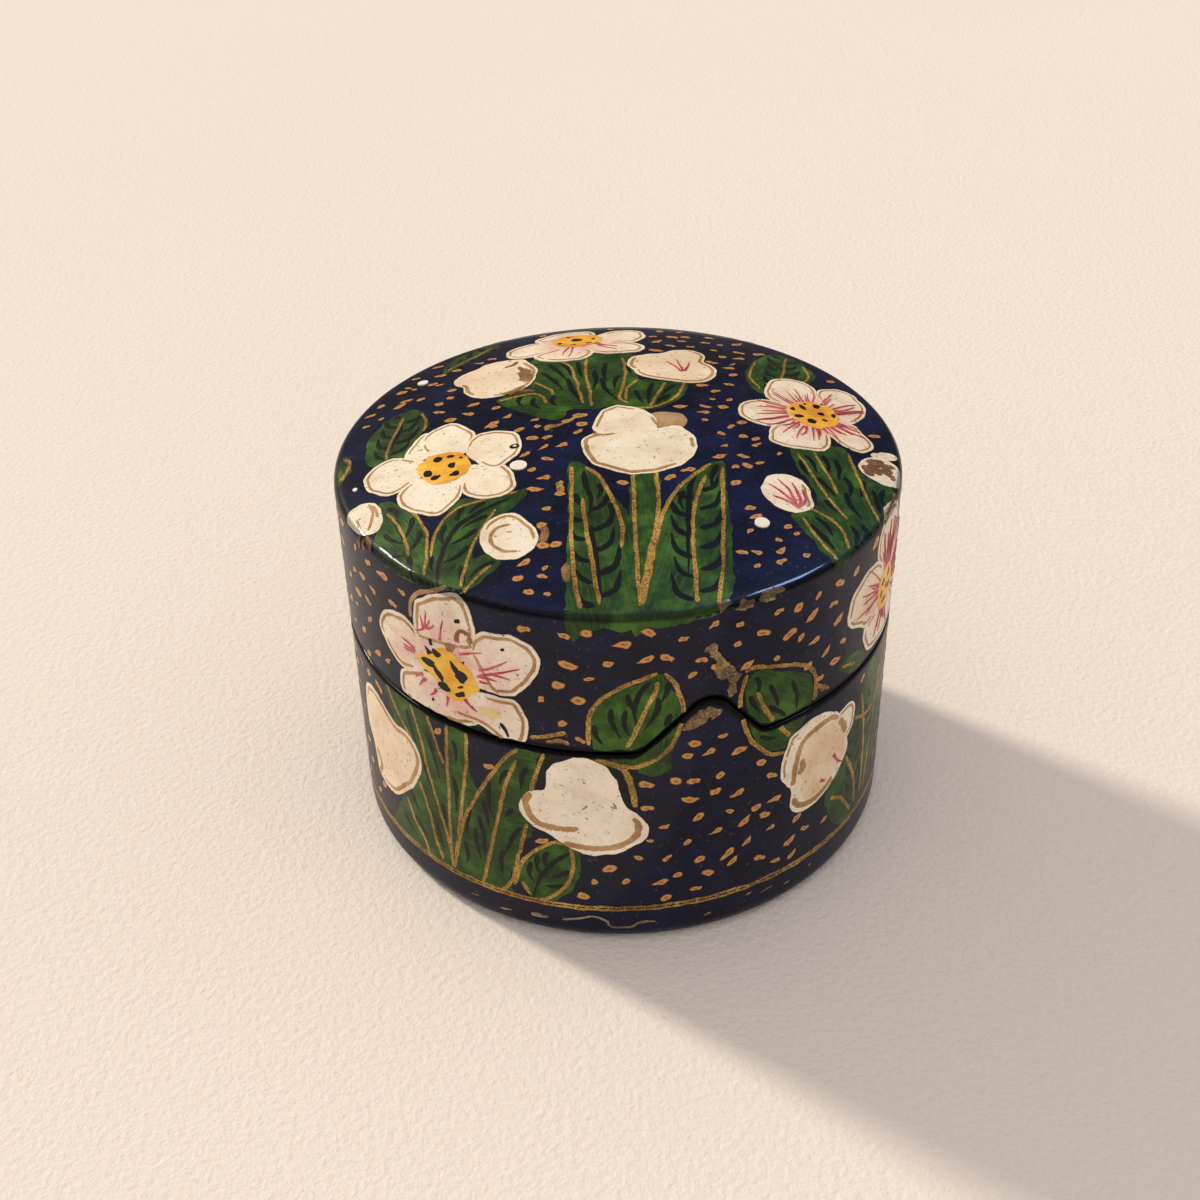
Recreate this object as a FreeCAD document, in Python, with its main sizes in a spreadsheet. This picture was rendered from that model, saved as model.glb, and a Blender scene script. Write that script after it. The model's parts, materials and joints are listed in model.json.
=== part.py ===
import FreeCAD, Part
import math
import os
import Sketcher

# A round lidded box of pasted paper board: a domed top board and a flat bottom board on one rolled ring,
# which is sawn apart along a level seam with a single raised wave that lines the lid up with the base.
# Millimetres and degrees, +Z up, origin in the middle of the underside, front towards -Y.

dimensions = [
    ("outer_radius", 40.0, "outside of the rolled ring"),
    ("wall_thickness", 3.0, "board of the rolled ring"),
    ("seam_height", 34.4, "level stretch of the upper edge of the base"),
    ("seam_gap", 0.35, "upward clearance between base and lid along the whole seam"),
    ("seam_arris", 0.45, "outer edges of the seam, taken off after sawing"),
    ("tongue_rise", 7.8, "crest of the wave above the level seam"),
    ("tongue_crest_radius", 3.3, "rounding of the crest"),
    ("tongue_foot_radius", 2.5, "rounding where the wave leaves the level seam"),
    ("tongue_left_slope", 45.0, "angle of the longer flank"),
    ("tongue_right_slope", 51.0, "angle of the steeper flank"),
    ("tongue_bearing", 16.5, "turn of the wave from the front, anticlockwise from above"),
    ("corner_height", 56.6, "where wall and dome would meet without the rounded shoulder"),
    ("shoulder_radius", 1.4, "rounding of the shoulder"),
    ("dome_rise", 5.0, "top of the dome above that corner"),
    ("crown_thickness", 2.6, "board of the dome"),
    ("crown_rim_depth", 2.2, "depth of the crown's edge, down to the top of the lid wall"),
    ("crown_spigot_depth", 1.2, "how far the crown drops into the lid wall"),
    ("crown_spigot_width", 1.5, "width of that step"),
    ("floor_thickness", 3.2, "bottom board under the wall"),
    ("floor_spigot_height", 0.9, "how far the bottom board stands up inside the wall"),
    ("heel_height", 2.6, "where the outside starts to turn under"),
    ("heel_turn", 60.0, "how far it turns before the flat underside"),
    ("collar_thickness", 1.8, "board of the inner ring"),
    ("collar_drop", 12.0, "how far the inner ring is glued down below the seam"),
    ("collar_stand", 9.5, "how far it stands above the seam"),
    ("collar_slip", 0.25, "pared off the standing part, so that the lid slides over it"),
    ("collar_lead_share", 0.45, "bevel that leads the lid on, of the board"),
    ("collar_runout_share", 0.65, "bevel where the inner ring runs out on the wall, of the board"),
    ("rounding_limit_share", 0.95, "most of a board's edge that its rounding may take"),
    ("cut_overrun", 5.0, "how far a cut runs past the board"),
    ("match_tolerance", 0.001, "how closely an edge must lie where it is looked for"),
]

doc = FreeCAD.newDocument("lidded_box")
sheet = doc.addObject("Spreadsheet::Sheet", "size")
for row, (alias, value, meaning) in enumerate(dimensions, start=1):
    sheet.set(f"A{row}", meaning)
    sheet.set(f"B{row}", str(value))
    sheet.setAlias(f"B{row}", alias)
doc.recompute()

# Places that several pieces share, worked out from the sheet
outside = "size.outer_radius"
bore = "(size.outer_radius - size.wall_thickness)"
base_edge = "size.seam_height"
lid_edge = "(size.seam_height + size.seam_gap)"
wall_top = "(size.corner_height - size.crown_rim_depth)"
dome_radius = "((size.outer_radius ^ 2 + size.dome_rise ^ 2) / (2 * size.dome_rise))"
dome_centre = f"(size.corner_height + size.dome_rise - {dome_radius})"
cut_reach = "(size.outer_radius + size.cut_overrun)"
uncut_dome_top = "(size.corner_height + size.dome_rise + size.cut_overrun)"


def value_of(expression):
    return float(sheet.evalExpression(expression))


def start_body(name):
    body = doc.addObject("PartDesign::Body", name)
    body.Label = name
    return body


def start_ring(name, seam_level):
    # A sawn ring has its own zero height at the seam and its own front at the crest of the wave
    body = start_body(name)
    body.Placement = FreeCAD.Placement(FreeCAD.Vector(), FreeCAD.Rotation(FreeCAD.Vector(0, 0, 1), 0))
    body.setExpression("Placement.Base.z", seam_level)
    body.setExpression("Placement.Rotation.Angle", "size.tongue_bearing")
    return body


def start_sketch(body, name):
    # Every outline lies in the upright plane through the axis: across is X, up is Z
    sketch = body.newObject("Sketcher::SketchObject", name)
    plane = [feature for feature in body.Origin.OriginFeatures if feature.Role == "XZ_Plane"][0]
    sketch.AttachmentSupport = [(plane, "")]
    sketch.MapMode = "FlatFace"
    return sketch


def drive(sketch, kind, place, expression):
    # A driving dimension that is bound to the sheet; places are measured from the sketch's origin
    number = value_of(expression)
    if kind == "Angle":
        index = sketch.addConstraint(Sketcher.Constraint(kind, *place, math.radians(number)))
        sketch.setExpression(f"Constraints[{index}]", f"({expression}) * 1 deg")
    elif kind == "Radius":
        index = sketch.addConstraint(Sketcher.Constraint(kind, *place, number))
        sketch.setExpression(f"Constraints[{index}]", f"({expression}) * 1 mm")
    else:
        index = sketch.addConstraint(Sketcher.Constraint(kind, -1, 1, *place, number))
        sketch.setExpression(f"Constraints[{index}]", f"({expression}) * 1 mm")


def drive_point(sketch, place, across, up):
    drive(sketch, "DistanceX", place, across)
    drive(sketch, "DistanceY", place, up)


def join(sketch, kind, first, second):
    sketch.addConstraint(Sketcher.Constraint(kind, *first, *second))


def add_line(sketch, start, end):
    return sketch.addGeometry(Part.LineSegment(FreeCAD.Vector(*start, 0), FreeCAD.Vector(*end, 0)), False)


def add_arc(sketch, centre, radius, start_angle, end_angle):
    # Anticlockwise from the start angle to the end angle, in degrees
    circle = Part.Circle(FreeCAD.Vector(*centre, 0), FreeCAD.Vector(0, 0, 1), radius)
    arc = Part.ArcOfCircle(circle, math.radians(start_angle), math.radians(end_angle))
    return sketch.addGeometry(arc, False)


def straight_run(sketch, corners):
    # Straight lines through corners given as pairs of expressions, open between the last and the first
    points = [(value_of(across), value_of(up)) for across, up in corners]
    lines = [add_line(sketch, start, end) for start, end in zip(points, points[1:])]
    for line, following in zip(lines, lines[1:]):
        join(sketch, "Coincident", (line, 2), (following, 1))
    for line, (across, up) in zip(lines, corners):
        drive_point(sketch, (line, 1), across, up)
    drive_point(sketch, (lines[-1], 2), *corners[-1])
    return lines


def bridge(sketch, line, following):
    # A straight line from the end of one line to the start of another
    ends = sketch.Geometry[line].EndPoint, sketch.Geometry[following].StartPoint
    link = sketch.addGeometry(Part.LineSegment(*ends), False)
    join(sketch, "Coincident", (line, 2), (link, 1))
    join(sketch, "Coincident", (link, 2), (following, 1))
    return link


def straight_outline(sketch, corners):
    lines = straight_run(sketch, corners)
    bridge(sketch, lines[-1], lines[0])


def revolve(body, sketch):
    turned = body.newObject("PartDesign::Revolution", f"{body.Name}_turned")
    turned.Profile = sketch
    turned.ReferenceAxis = (sketch, ["V_Axis"])
    turned.Angle = 360.0
    body.Tip = turned
    doc.recompute()


def finish_cut(body, cut, before):
    body.Tip = cut
    doc.recompute()
    if not cut.Shape.Volume < before:
        raise ValueError(f"{cut.Name} takes nothing away")


def cut_through(body, sketch, towards_front):
    # Saws away what the outline covers, on one side of the upright plane only
    before = body.Tip.Shape.Volume
    cut = body.newObject("PartDesign::Pocket", f"{sketch.Name}_cut")
    cut.Profile = sketch
    cut.Type = "ThroughAll"
    cut.Reversed = towards_front
    finish_cut(body, cut, before)


def trim_to_ball(body, radius):
    # Takes off what stands above a ball round the dome's centre: the waste is swung half a turn about a level line
    before = body.Tip.Shape.Volume
    outline = start_sketch(body, f"{body.Name}_ball")
    edge_height = f"({dome_centre} + sqrt({radius} ^ 2 - {cut_reach} ^ 2))"
    waste_height = f"({dome_centre} + {dome_radius} + size.dome_rise + 2 * size.cut_overrun)"
    waste = straight_run(outline, [(cut_reach, edge_height), (cut_reach, waste_height),
                                   (f"-{cut_reach}", waste_height), (f"-{cut_reach}", edge_height)])
    tilt = math.degrees(math.acos(value_of(cut_reach) / value_of(radius)))
    surface = add_arc(outline, (0, value_of(dome_centre)), value_of(radius), tilt, 180 - tilt)
    join(outline, "Coincident", (surface, 1), (waste[0], 1))
    join(outline, "Coincident", (surface, 2), (waste[-1], 2))
    drive(outline, "DistanceY", (surface, 3), dome_centre)
    hinge = straight_run(outline, [(f"-{cut_reach}", dome_centre), (cut_reach, dome_centre)])
    outline.toggleConstruction(hinge[0])
    doc.recompute()
    cut = body.newObject("PartDesign::Groove", f"{outline.Name}_cut")
    cut.Profile = outline
    cut.ReferenceAxis = (outline, ["Axis0"])
    cut.Angle = 180.0
    cut.Midplane = True
    finish_cut(body, cut, before)


def waste_beyond(sketch, waste_height):
    # The far side of a saw cut's waste, from the right end of the seam round to its left end
    return straight_run(sketch, [(cut_reach, "0"), (cut_reach, waste_height),
                                 (f"-{cut_reach}", waste_height), (f"-{cut_reach}", "0")])


def wave_outline(sketch, waste_height):
    # The seam with its wave, closed round the waste; the wave's crest is over the axis
    reach = value_of(cut_reach)
    crest = value_of("size.tongue_crest_radius")
    foot = value_of("size.tongue_foot_radius")
    left = value_of("size.tongue_left_slope")
    right = value_of("size.tongue_right_slope")
    crest_centre = (0, value_of("size.tongue_rise") - crest)

    def flank(slope, side):
        # Upper and lower end of one flank, and the centre of the rounding at its foot
        across, up = math.sin(math.radians(slope)), math.cos(math.radians(slope))
        high = (side * crest * across, crest_centre[1] + crest * up)
        low_height = foot * (1 - up)
        low = (high[0] + side * (high[1] - low_height) * up / across, low_height)
        return high, low, (low[0] + side * foot * across, foot)

    left_high, left_low, left_foot = flank(left, -1)
    right_high, right_low, right_foot = flank(right, 1)
    level_left = add_line(sketch, (-reach, 0), (left_foot[0], 0))
    foot_left = add_arc(sketch, left_foot, foot, 270, 270 + left)
    flank_left = add_line(sketch, left_low, left_high)
    crest_arc = add_arc(sketch, crest_centre, crest, 90 - right, 90 + left)
    flank_right = add_line(sketch, right_high, right_low)
    foot_right = add_arc(sketch, right_foot, foot, 270 - right, 270)
    level_right = add_line(sketch, (right_foot[0], 0), (reach, 0))
    waste = waste_beyond(sketch, waste_height)

    join(sketch, "Tangent", (level_left, 2), (foot_left, 1))
    join(sketch, "Tangent", (foot_left, 2), (flank_left, 1))
    join(sketch, "Tangent", (flank_left, 2), (crest_arc, 2))
    join(sketch, "Tangent", (crest_arc, 1), (flank_right, 1))
    join(sketch, "Tangent", (flank_right, 2), (foot_right, 1))
    join(sketch, "Tangent", (foot_right, 2), (level_right, 1))
    join(sketch, "Coincident", (level_right, 2), (waste[0], 1))
    join(sketch, "Coincident", (waste[-1], 2), (level_left, 1))
    join(sketch, "Horizontal", (level_left,), ())
    join(sketch, "Horizontal", (level_right,), ())
    drive_point(sketch, (crest_arc, 3), "0", "size.tongue_rise - size.tongue_crest_radius")
    drive(sketch, "Radius", (crest_arc,), "size.tongue_crest_radius")
    drive(sketch, "Radius", (foot_left,), "size.tongue_foot_radius")
    drive(sketch, "Radius", (foot_right,), "size.tongue_foot_radius")
    drive(sketch, "Angle", (flank_left,), "size.tongue_left_slope")
    drive(sketch, "Angle", (flank_right,), "-size.tongue_right_slope")


def seam_edges(shape):
    # Names of the edges that lie wholly on the outside of the ring, within the height of the seam
    radius = value_of(outside)
    slack = value_of("size.match_tolerance")
    high = value_of("size.tongue_rise")
    found = []
    for index, edge in enumerate(shape.Edges, start=1):
        points = edge.discretize(9)
        on_outside = all(abs(math.hypot(point.x, point.y) - radius) < slack for point in points)
        in_band = all(-slack < point.z < high + slack for point in points)
        if on_outside and in_band:
            found.append(f"Edge{index}")
    return found


def saw_seam(body, waste_height):
    # The front half is sawn along the wave, the back half level, and the outer edges are then bevelled
    front = start_sketch(body, f"{body.Name}_wave")
    wave_outline(front, waste_height)
    doc.recompute()
    cut_through(body, front, True)
    back = start_sketch(body, f"{body.Name}_level")
    waste = waste_beyond(back, waste_height)
    bridge(back, waste[-1], waste[0])
    doc.recompute()
    cut_through(body, back, False)
    sawn = body.Tip
    bevel = body.newObject("PartDesign::Chamfer", f"{body.Name}_arris")
    bevel.Base = (sawn, seam_edges(sawn.Shape))
    bevel.setExpression("Size", "size.seam_arris")
    finish_cut(body, bevel, sawn.Shape.Volume)


def make_base_wall():
    body = start_ring("base_wall", base_edge)
    section = start_sketch(body, "base_wall_section")
    foot = f"(size.floor_thickness - {base_edge})"
    uncut = "(size.tongue_rise + size.cut_overrun)"
    straight_outline(section, [(bore, foot), (outside, foot), (outside, uncut), (bore, uncut)])
    revolve(body, section)
    saw_seam(body, f"{uncut} + size.cut_overrun")
    return body


def make_lid_wall():
    body = start_ring("lid_wall", lid_edge)
    section = start_sketch(body, "lid_wall_section")
    top = f"({wall_top} - {lid_edge})"
    uncut = "(-size.cut_overrun)"
    straight_outline(section, [(bore, uncut), (outside, uncut), (outside, top), (bore, top)])
    revolve(body, section)
    saw_seam(body, f"{uncut} - size.cut_overrun")
    return body


def crown_outline(sketch):
    # Half section of the rim up to the shoulder; the board above the shoulder is left square for the dome's cut
    shoulder = "min(size.shoulder_radius; size.crown_rim_depth * size.rounding_limit_share)"
    step_foot = f"({wall_top} - size.crown_spigot_depth)"
    rounding = value_of(shoulder)
    ball = value_of(dome_radius)
    ball_centre = (0, value_of(dome_centre))
    across = value_of(outside) - rounding
    up = ball_centre[1] + math.sqrt((ball - rounding) ** 2 - across ** 2)
    tilt = math.atan2(up - ball_centre[1], across)
    touch = (ball * math.cos(tilt), ball_centre[1] + ball * math.sin(tilt))
    uncut_corner = (touch[0], value_of(uncut_dome_top))

    rounded = add_arc(sketch, (across, up), rounding, 0, math.degrees(tilt))
    dome = add_arc(sketch, ball_centre, ball, math.degrees(tilt), 90)
    sketch.toggleConstruction(dome)
    edge = add_line(sketch, (value_of(outside), up), (value_of(outside), value_of(wall_top)))
    rim = straight_run(sketch, [(outside, wall_top), (bore, wall_top), (bore, step_foot),
                                ("0", step_foot), ("0", uncut_dome_top)])
    waste_top = add_line(sketch, (0, value_of(uncut_dome_top)), uncut_corner)
    waste_side = add_line(sketch, uncut_corner, touch)
    join(sketch, "Tangent", (rounded, 1), (edge, 1))
    join(sketch, "Tangent", (rounded, 2), (dome, 1))
    join(sketch, "Coincident", (edge, 2), (rim[0], 1))
    join(sketch, "Coincident", (rim[-1], 2), (waste_top, 1))
    join(sketch, "Coincident", (waste_top, 2), (waste_side, 1))
    join(sketch, "Coincident", (waste_side, 2), (rounded, 2))
    join(sketch, "Vertical", (edge,), ())
    join(sketch, "Horizontal", (waste_top,), ())
    join(sketch, "Vertical", (waste_side,), ())
    drive(sketch, "Radius", (rounded,), shoulder)
    drive_point(sketch, (dome, 3), "0", dome_centre)
    drive(sketch, "Radius", (dome,), dome_radius)
    drive(sketch, "DistanceX", (dome, 2), "0")


def make_lid_crown():
    # A domed board on a rim that rests on the lid wall, with a step that drops inside the wall
    body = start_body("lid_crown")
    section = start_sketch(body, "lid_crown_section")
    crown_outline(section)
    doc.recompute()
    revolve(body, section)
    trim_to_ball(body, dome_radius)

    # The hollow under the dome leaves an even board, and inside the step it runs straight down
    core = start_body("lid_crown_core")
    core_section = start_sketch(core, "lid_crown_core_section")
    inside = f"({bore} - size.crown_spigot_width)"
    below = f"({wall_top} - size.crown_spigot_depth - size.cut_overrun)"
    straight_outline(core_section, [("0", below), (inside, below), (inside, uncut_dome_top), ("0", uncut_dome_top)])
    revolve(core, core_section)
    trim_to_ball(core, f"({dome_radius} - size.crown_thickness)")
    before = body.Tip.Shape.Volume
    hollow = body.newObject("PartDesign::Boolean", "lid_crown_hollow")
    hollow.Type = "Cut"
    hollow.setObjects([core])
    finish_cut(body, hollow, before)
    return body


def make_base_floor():
    # The heel turns under in an arc that stops short of level, where the flat underside begins
    body = start_body("base_floor")
    section = start_sketch(body, "base_floor_section")
    spigot_top = "(size.floor_thickness + size.floor_spigot_height)"
    heel_height = "min(size.heel_height; size.floor_thickness * size.rounding_limit_share)"
    turn = value_of("size.heel_turn")
    height = value_of(heel_height)
    radius = height / math.sin(math.radians(turn))
    rim = straight_run(section, [(outside, "size.floor_thickness"), (bore, "size.floor_thickness"),
                                 (bore, spigot_top), ("0", spigot_top), ("0", "0")])
    heel = add_arc(section, (value_of(outside) - radius, height), radius, 360 - turn, 360)
    underside = bridge(section, rim[-1], heel)
    edge = add_line(section, (value_of(outside), height), (value_of(outside), value_of("size.floor_thickness")))
    join(section, "Tangent", (heel, 2), (edge, 1))
    join(section, "Coincident", (edge, 2), (rim[0], 1))
    join(section, "Vertical", (edge,), ())
    join(section, "Horizontal", (underside,), ())
    drive(section, "Radius", (heel,), f"{heel_height} / sin(size.heel_turn * 1 deg)")
    drive(section, "DistanceY", (heel, 3), heel_height)
    doc.recompute()
    revolve(body, section)
    return body


def make_seat_collar():
    # Glued to the bore up to the seam, pared back above it, bevelled at both ends
    body = start_body("seat_collar")
    section = start_sketch(body, "seat_collar_section")
    inside = f"({bore} - size.collar_thickness)"
    standing = f"({bore} - size.collar_slip)"
    foot = f"({base_edge} - size.collar_drop)"
    top = f"({base_edge} + size.collar_stand)"
    lead = "size.collar_thickness * size.collar_lead_share"
    runout = "size.collar_thickness * size.collar_runout_share"
    straight_outline(section, [(f"{inside} + {runout}", foot), (bore, foot), (bore, base_edge),
                               (standing, base_edge), (standing, f"{top} - {lead}"),
                               (f"{standing} - {lead}", top), (inside, top), (inside, f"{foot} + {runout}")])
    revolve(body, section)
    return body


pieces = [make_lid_crown(), make_lid_wall(), make_base_wall(), make_base_floor(), make_seat_collar()]
doc.recompute()

for item in doc.Objects:
    if "Invalid" in item.State or "Error" in item.State:
        raise ValueError(f"{item.Name} failed to build: {item.State}")
for piece in pieces:
    if piece.Shape.isNull() or not piece.Shape.isValid() or len(piece.Shape.Solids) != 1:
        raise ValueError(f"{piece.Label} is not one valid solid")

os.makedirs("parts", exist_ok=True)
for piece in pieces:
    piece.Shape.exportStep(f"parts/{piece.Label}.step")
    box = piece.Shape.optimalBoundingBox()
    print(f"{piece.Label}: {piece.Shape.Volume:.1f} mm3, z {box.ZMin:.2f} to {box.ZMax:.2f}")
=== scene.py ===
import bpy
import json
import math
import random
from mathutils import Matrix, Vector, geometry, noise

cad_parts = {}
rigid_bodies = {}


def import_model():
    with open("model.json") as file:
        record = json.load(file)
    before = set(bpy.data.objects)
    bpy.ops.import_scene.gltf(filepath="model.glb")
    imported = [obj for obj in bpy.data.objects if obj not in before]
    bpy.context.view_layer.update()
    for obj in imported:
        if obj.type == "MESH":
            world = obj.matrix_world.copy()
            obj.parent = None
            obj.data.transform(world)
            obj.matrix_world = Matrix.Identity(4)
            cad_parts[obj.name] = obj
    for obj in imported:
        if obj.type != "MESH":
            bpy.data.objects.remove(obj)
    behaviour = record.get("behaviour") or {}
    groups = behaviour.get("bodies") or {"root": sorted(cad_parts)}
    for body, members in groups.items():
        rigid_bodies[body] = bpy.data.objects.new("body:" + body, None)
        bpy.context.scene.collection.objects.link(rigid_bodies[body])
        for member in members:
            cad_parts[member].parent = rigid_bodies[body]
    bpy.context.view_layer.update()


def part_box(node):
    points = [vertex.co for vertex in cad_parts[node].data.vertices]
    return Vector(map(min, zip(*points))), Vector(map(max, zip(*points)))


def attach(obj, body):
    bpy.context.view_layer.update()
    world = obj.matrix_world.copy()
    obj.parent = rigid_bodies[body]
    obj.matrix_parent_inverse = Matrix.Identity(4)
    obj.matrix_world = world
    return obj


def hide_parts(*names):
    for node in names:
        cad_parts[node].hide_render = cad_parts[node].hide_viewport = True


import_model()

# Lengths in this script are millimetres until a mesh is made; the charts below are too
mm = 0.001

camera = {
    "place": (0.0, -207.7, 178.2),
    "ahead": (-0.0115, 0.8157, -0.5784),
    "up": (0.0157, 0.5785, 0.8156),
    "lens": 50.76,
    "sensor": 36.0,
}

studio = {
    "keyTowards": (0.80, -0.60, -0.58),
    "keyStrength": 2.5,
    "keyAngle": 6.0,
    "keyColour": (255, 242, 216),
    "frontTowards": (-0.12, 0.50, -0.85),
    "frontStrength": 0.5,
    "frontAngle": 80.0,
    "frontColour": (255, 245, 236),
    "skyPlace": (0.56, 0.13, 0.93),
    "skyPower": 15.0,
    "skySize": (0.3, 0.3),
    "skyColour": (165, 200, 255),
    "stripPlace": (-0.72, 0.33, 0.76),
    "stripPower": 9.0,
    "stripSize": (0.42, 0.09),
    "stripColour": (255, 248, 238),
    "fillStrength": 0.52,
    "fillColour": (255, 246, 236),
    "glossStrength": 0.10,
    "floorColour": (243, 235, 232),
    "floorReach": 3.0,
    "paperScale": 900.0,
    "paperBump": 0.6,
    "beyondColour": (246, 230, 211),
}


def paintColour(red, green, blue):
    # From 0-255 screen values to the linear ones that the shaders take
    def channel(value):
        value /= 255
        return value / 12.92 if value <= 0.04045 else ((value + 0.055) / 1.055) ** 2.4
    return (channel(red), channel(green), channel(blue), 1.0)


def addNode(tree, kind, inputs, **settings):
    # A node with its settings made, and each input given a value or a link
    node = tree.nodes.new(kind)
    for name, value in settings.items():
        setattr(node, name, value)
    for name, value in inputs.items():
        if isinstance(value, bpy.types.NodeSocket):
            tree.links.new(value, node.inputs[name])
        else:
            node.inputs[name].default_value = value
    return node


def addObject(name, data):
    thing = bpy.data.objects.new(name, data)
    bpy.context.scene.collection.objects.link(thing)
    return thing


def setCamera():
    data = bpy.data.cameras.new("photoCamera")
    data.sensor_width = camera["sensor"]
    data.lens = camera["lens"]
    data.clip_start = 0.01
    ahead = Vector(camera["ahead"]).normalized()
    right = ahead.cross(Vector(camera["up"])).normalized()
    up = right.cross(ahead)
    turn = Matrix((right, up, -ahead)).transposed().to_4x4()
    holder = addObject("photoCamera", data)
    holder.matrix_world = Matrix.Translation(Vector(camera["place"]) * mm) @ turn
    bpy.context.scene.camera = holder


setCamera()
print("camera set")


# The form: half section of the outside, followed by its arc length from the top of the dome

form = {
    "radius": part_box("base_floor")[1].x / mm,
    "domeTop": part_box("lid_crown")[1].z / mm,
    "floorTop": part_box("base_floor")[1].z / mm,
    "stepFoot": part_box("lid_crown")[0].z / mm,
    "board": 3.0,
    "domeBoard": 2.6,
    "domeRise": 5.0,
    "stepWidth": 1.5,
    "shoulder": 1.4,
    "heelHeight": 2.6,
    "heelTurn": 60.0,
    "seam": 34.4,
    "seamGap": 0.35,
    "arris": 0.45,
    "collarBoard": 1.8,
    "collarSlip": 0.25,
    "waveBearing": 16.5,
    "waveRise": 7.8,
    "crestRadius": 3.3,
    "footRadius": 2.5,
    "leftSlope": 45.0,
    "rightSlope": 51.0,
}

outer = form["radius"]
bore = outer - form["board"]
domeRadius = (outer ** 2 + form["domeRise"] ** 2) / (2 * form["domeRise"])
domeCentre = form["domeTop"] - domeRadius
shoulderAcross = outer - form["shoulder"]
shoulderUp = domeCentre + math.sqrt((domeRadius - form["shoulder"]) ** 2 - shoulderAcross ** 2)
domeAngle = math.atan2(shoulderAcross, shoulderUp - domeCentre)
domeArc = domeRadius * domeAngle
wallStart = domeArc + form["shoulder"] * (math.pi / 2 - domeAngle)
heelStart = wallStart + shoulderUp - form["heelHeight"]
heelTurn = math.radians(form["heelTurn"])
heelRadius = form["heelHeight"] / math.sin(heelTurn)
heelEnd = heelStart + heelRadius * heelTurn


def meridian(along):
    # Radius, height and outward normal of the outside
    if along < domeArc:
        turn = along / domeRadius
        across, up = math.sin(turn), math.cos(turn)
        return domeRadius * across, domeCentre + domeRadius * up, across, up
    if along < wallStart:
        turn = domeAngle + (along - domeArc) / form["shoulder"]
        across, up = math.sin(turn), math.cos(turn)
        return shoulderAcross + form["shoulder"] * across, shoulderUp + form["shoulder"] * up, across, up
    if along < heelStart:
        return outer, shoulderUp - (along - wallStart), 1.0, 0.0
    turn = min((along - heelStart) / heelRadius, heelTurn)
    across, down = math.cos(turn), math.sin(turn)
    return outer - heelRadius * (1 - across), form["heelHeight"] - heelRadius * down, across, -down


def onSurface(angle, along, lift):
    radius, height, across, up = meridian(along)
    radius += lift * across
    return (radius * math.sin(angle), -radius * math.cos(angle), height + lift * up)


# Two flat charts: the lid seen from above, and the wall unrolled from its front

def fromTop(x, y):
    return math.atan2(x, -y), math.hypot(x, y)


def fromWall(x, y):
    return x / outer, wallStart + shoulderUp - y


charts = {"top": fromTop, "wall": fromWall}


def wave(across):
    # Height of the seam above its level stretch, at a distance from the middle of the wave
    slope = math.radians(form["leftSlope"] if across < 0 else form["rightSlope"])
    across = abs(across)
    crest, foot, rise = form["crestRadius"], form["footRadius"], form["waveRise"]
    if across <= crest * math.sin(slope):
        return rise - crest + math.sqrt(crest ** 2 - across ** 2)
    top = rise - crest + crest * math.cos(slope)
    bottom = foot * (1 - math.cos(slope))
    flankEnd = crest * math.sin(slope) + (top - bottom) / math.tan(slope)
    if across <= flankEnd:
        return top - (across - crest * math.sin(slope)) * math.tan(slope)
    footCentre = flankEnd + foot * math.sin(slope)
    if across < footCentre:
        return foot - math.sqrt(foot ** 2 - (footCentre - across) ** 2)
    return 0.0


def seamHeight(angle, radius):
    local = angle - math.radians(form["waveBearing"])
    if math.cos(local) <= 0:
        return form["seam"]
    return form["seam"] + wave(radius * math.sin(local))


# Meshes are gathered by body and finish, and made into objects at the end

gathered = {}
inkedAreas = {"top": [], "wall": []}


def gather(body, finish):
    return gathered.setdefault((body, finish), {"points": [], "faces": [], "brush": []})


def addSolid(body, finish, upper, lower, faces, brush):
    # A thin closed slab: upper faces, the same faces turned over below, and walls round every open edge
    store = gather(body, finish)
    start = len(store["points"])
    count = len(upper)
    store["points"] += upper + lower
    store["brush"] += brush + brush
    edges = set()
    for face in faces:
        store["faces"].append([start + corner for corner in face])
        store["faces"].append([start + count + corner for corner in reversed(face)])
        edges.update(zip(face, face[1:] + face[:1]))
    for first, second in edges:
        if (second, first) not in edges:
            store["faces"].append([start + second, start + first, start + count + first, start + count + second])


# How far every slab of paint reaches into the board
paintSink = -0.06

# How high each coat stands; a later coat covers an earlier one
lifts = {
    "leaf": 0.020,
    "vein": 0.034,
    "gilt": 0.046,
    "petal": 0.054,
    "petalStep": 0.018,
    "outline": 0.009,
    "rays": 0.172,
    "heart": 0.185,
    "seed": 0.200,
    "chip": 0.110,
    "rimDrop": 0.011,
}


def inside(outline, x, y):
    hit = False
    lastX, lastY = outline[-1]
    for nextX, nextY in outline:
        if (nextY > y) != (lastY > y) and x < (lastX - nextX) * (y - nextY) / (lastY - nextY) + nextX:
            hit = not hit
        lastX, lastY = nextX, nextY
    return hit


def smooth(points, closed, step):
    # Points along a soft curve through the given ones
    count = len(points)
    found = []
    for index in range(count if closed else count - 1):
        if closed:
            a, b, c, d = (Vector(points[(index + shift) % count]) for shift in (-1, 0, 1, 2))
        else:
            a, b, c, d = (Vector(points[min(max(index + shift, 0), count - 1)]) for shift in (-1, 0, 1, 2))
        parts = max(2, round((c - b).length / step))
        for part in range(parts):
            t = part / parts
            found.append(0.5 * (2 * b + (c - a) * t + (2 * a - 5 * b + 4 * c - d) * t ** 2
                                + (3 * b - a - 3 * c + d) * t ** 3))
    if not closed:
        found.append(Vector(points[-1]))
    return found


# A hand's wander, and the finer tremor on top of it
tremor = {"share": 0.35, "size": 0.6}


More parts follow.
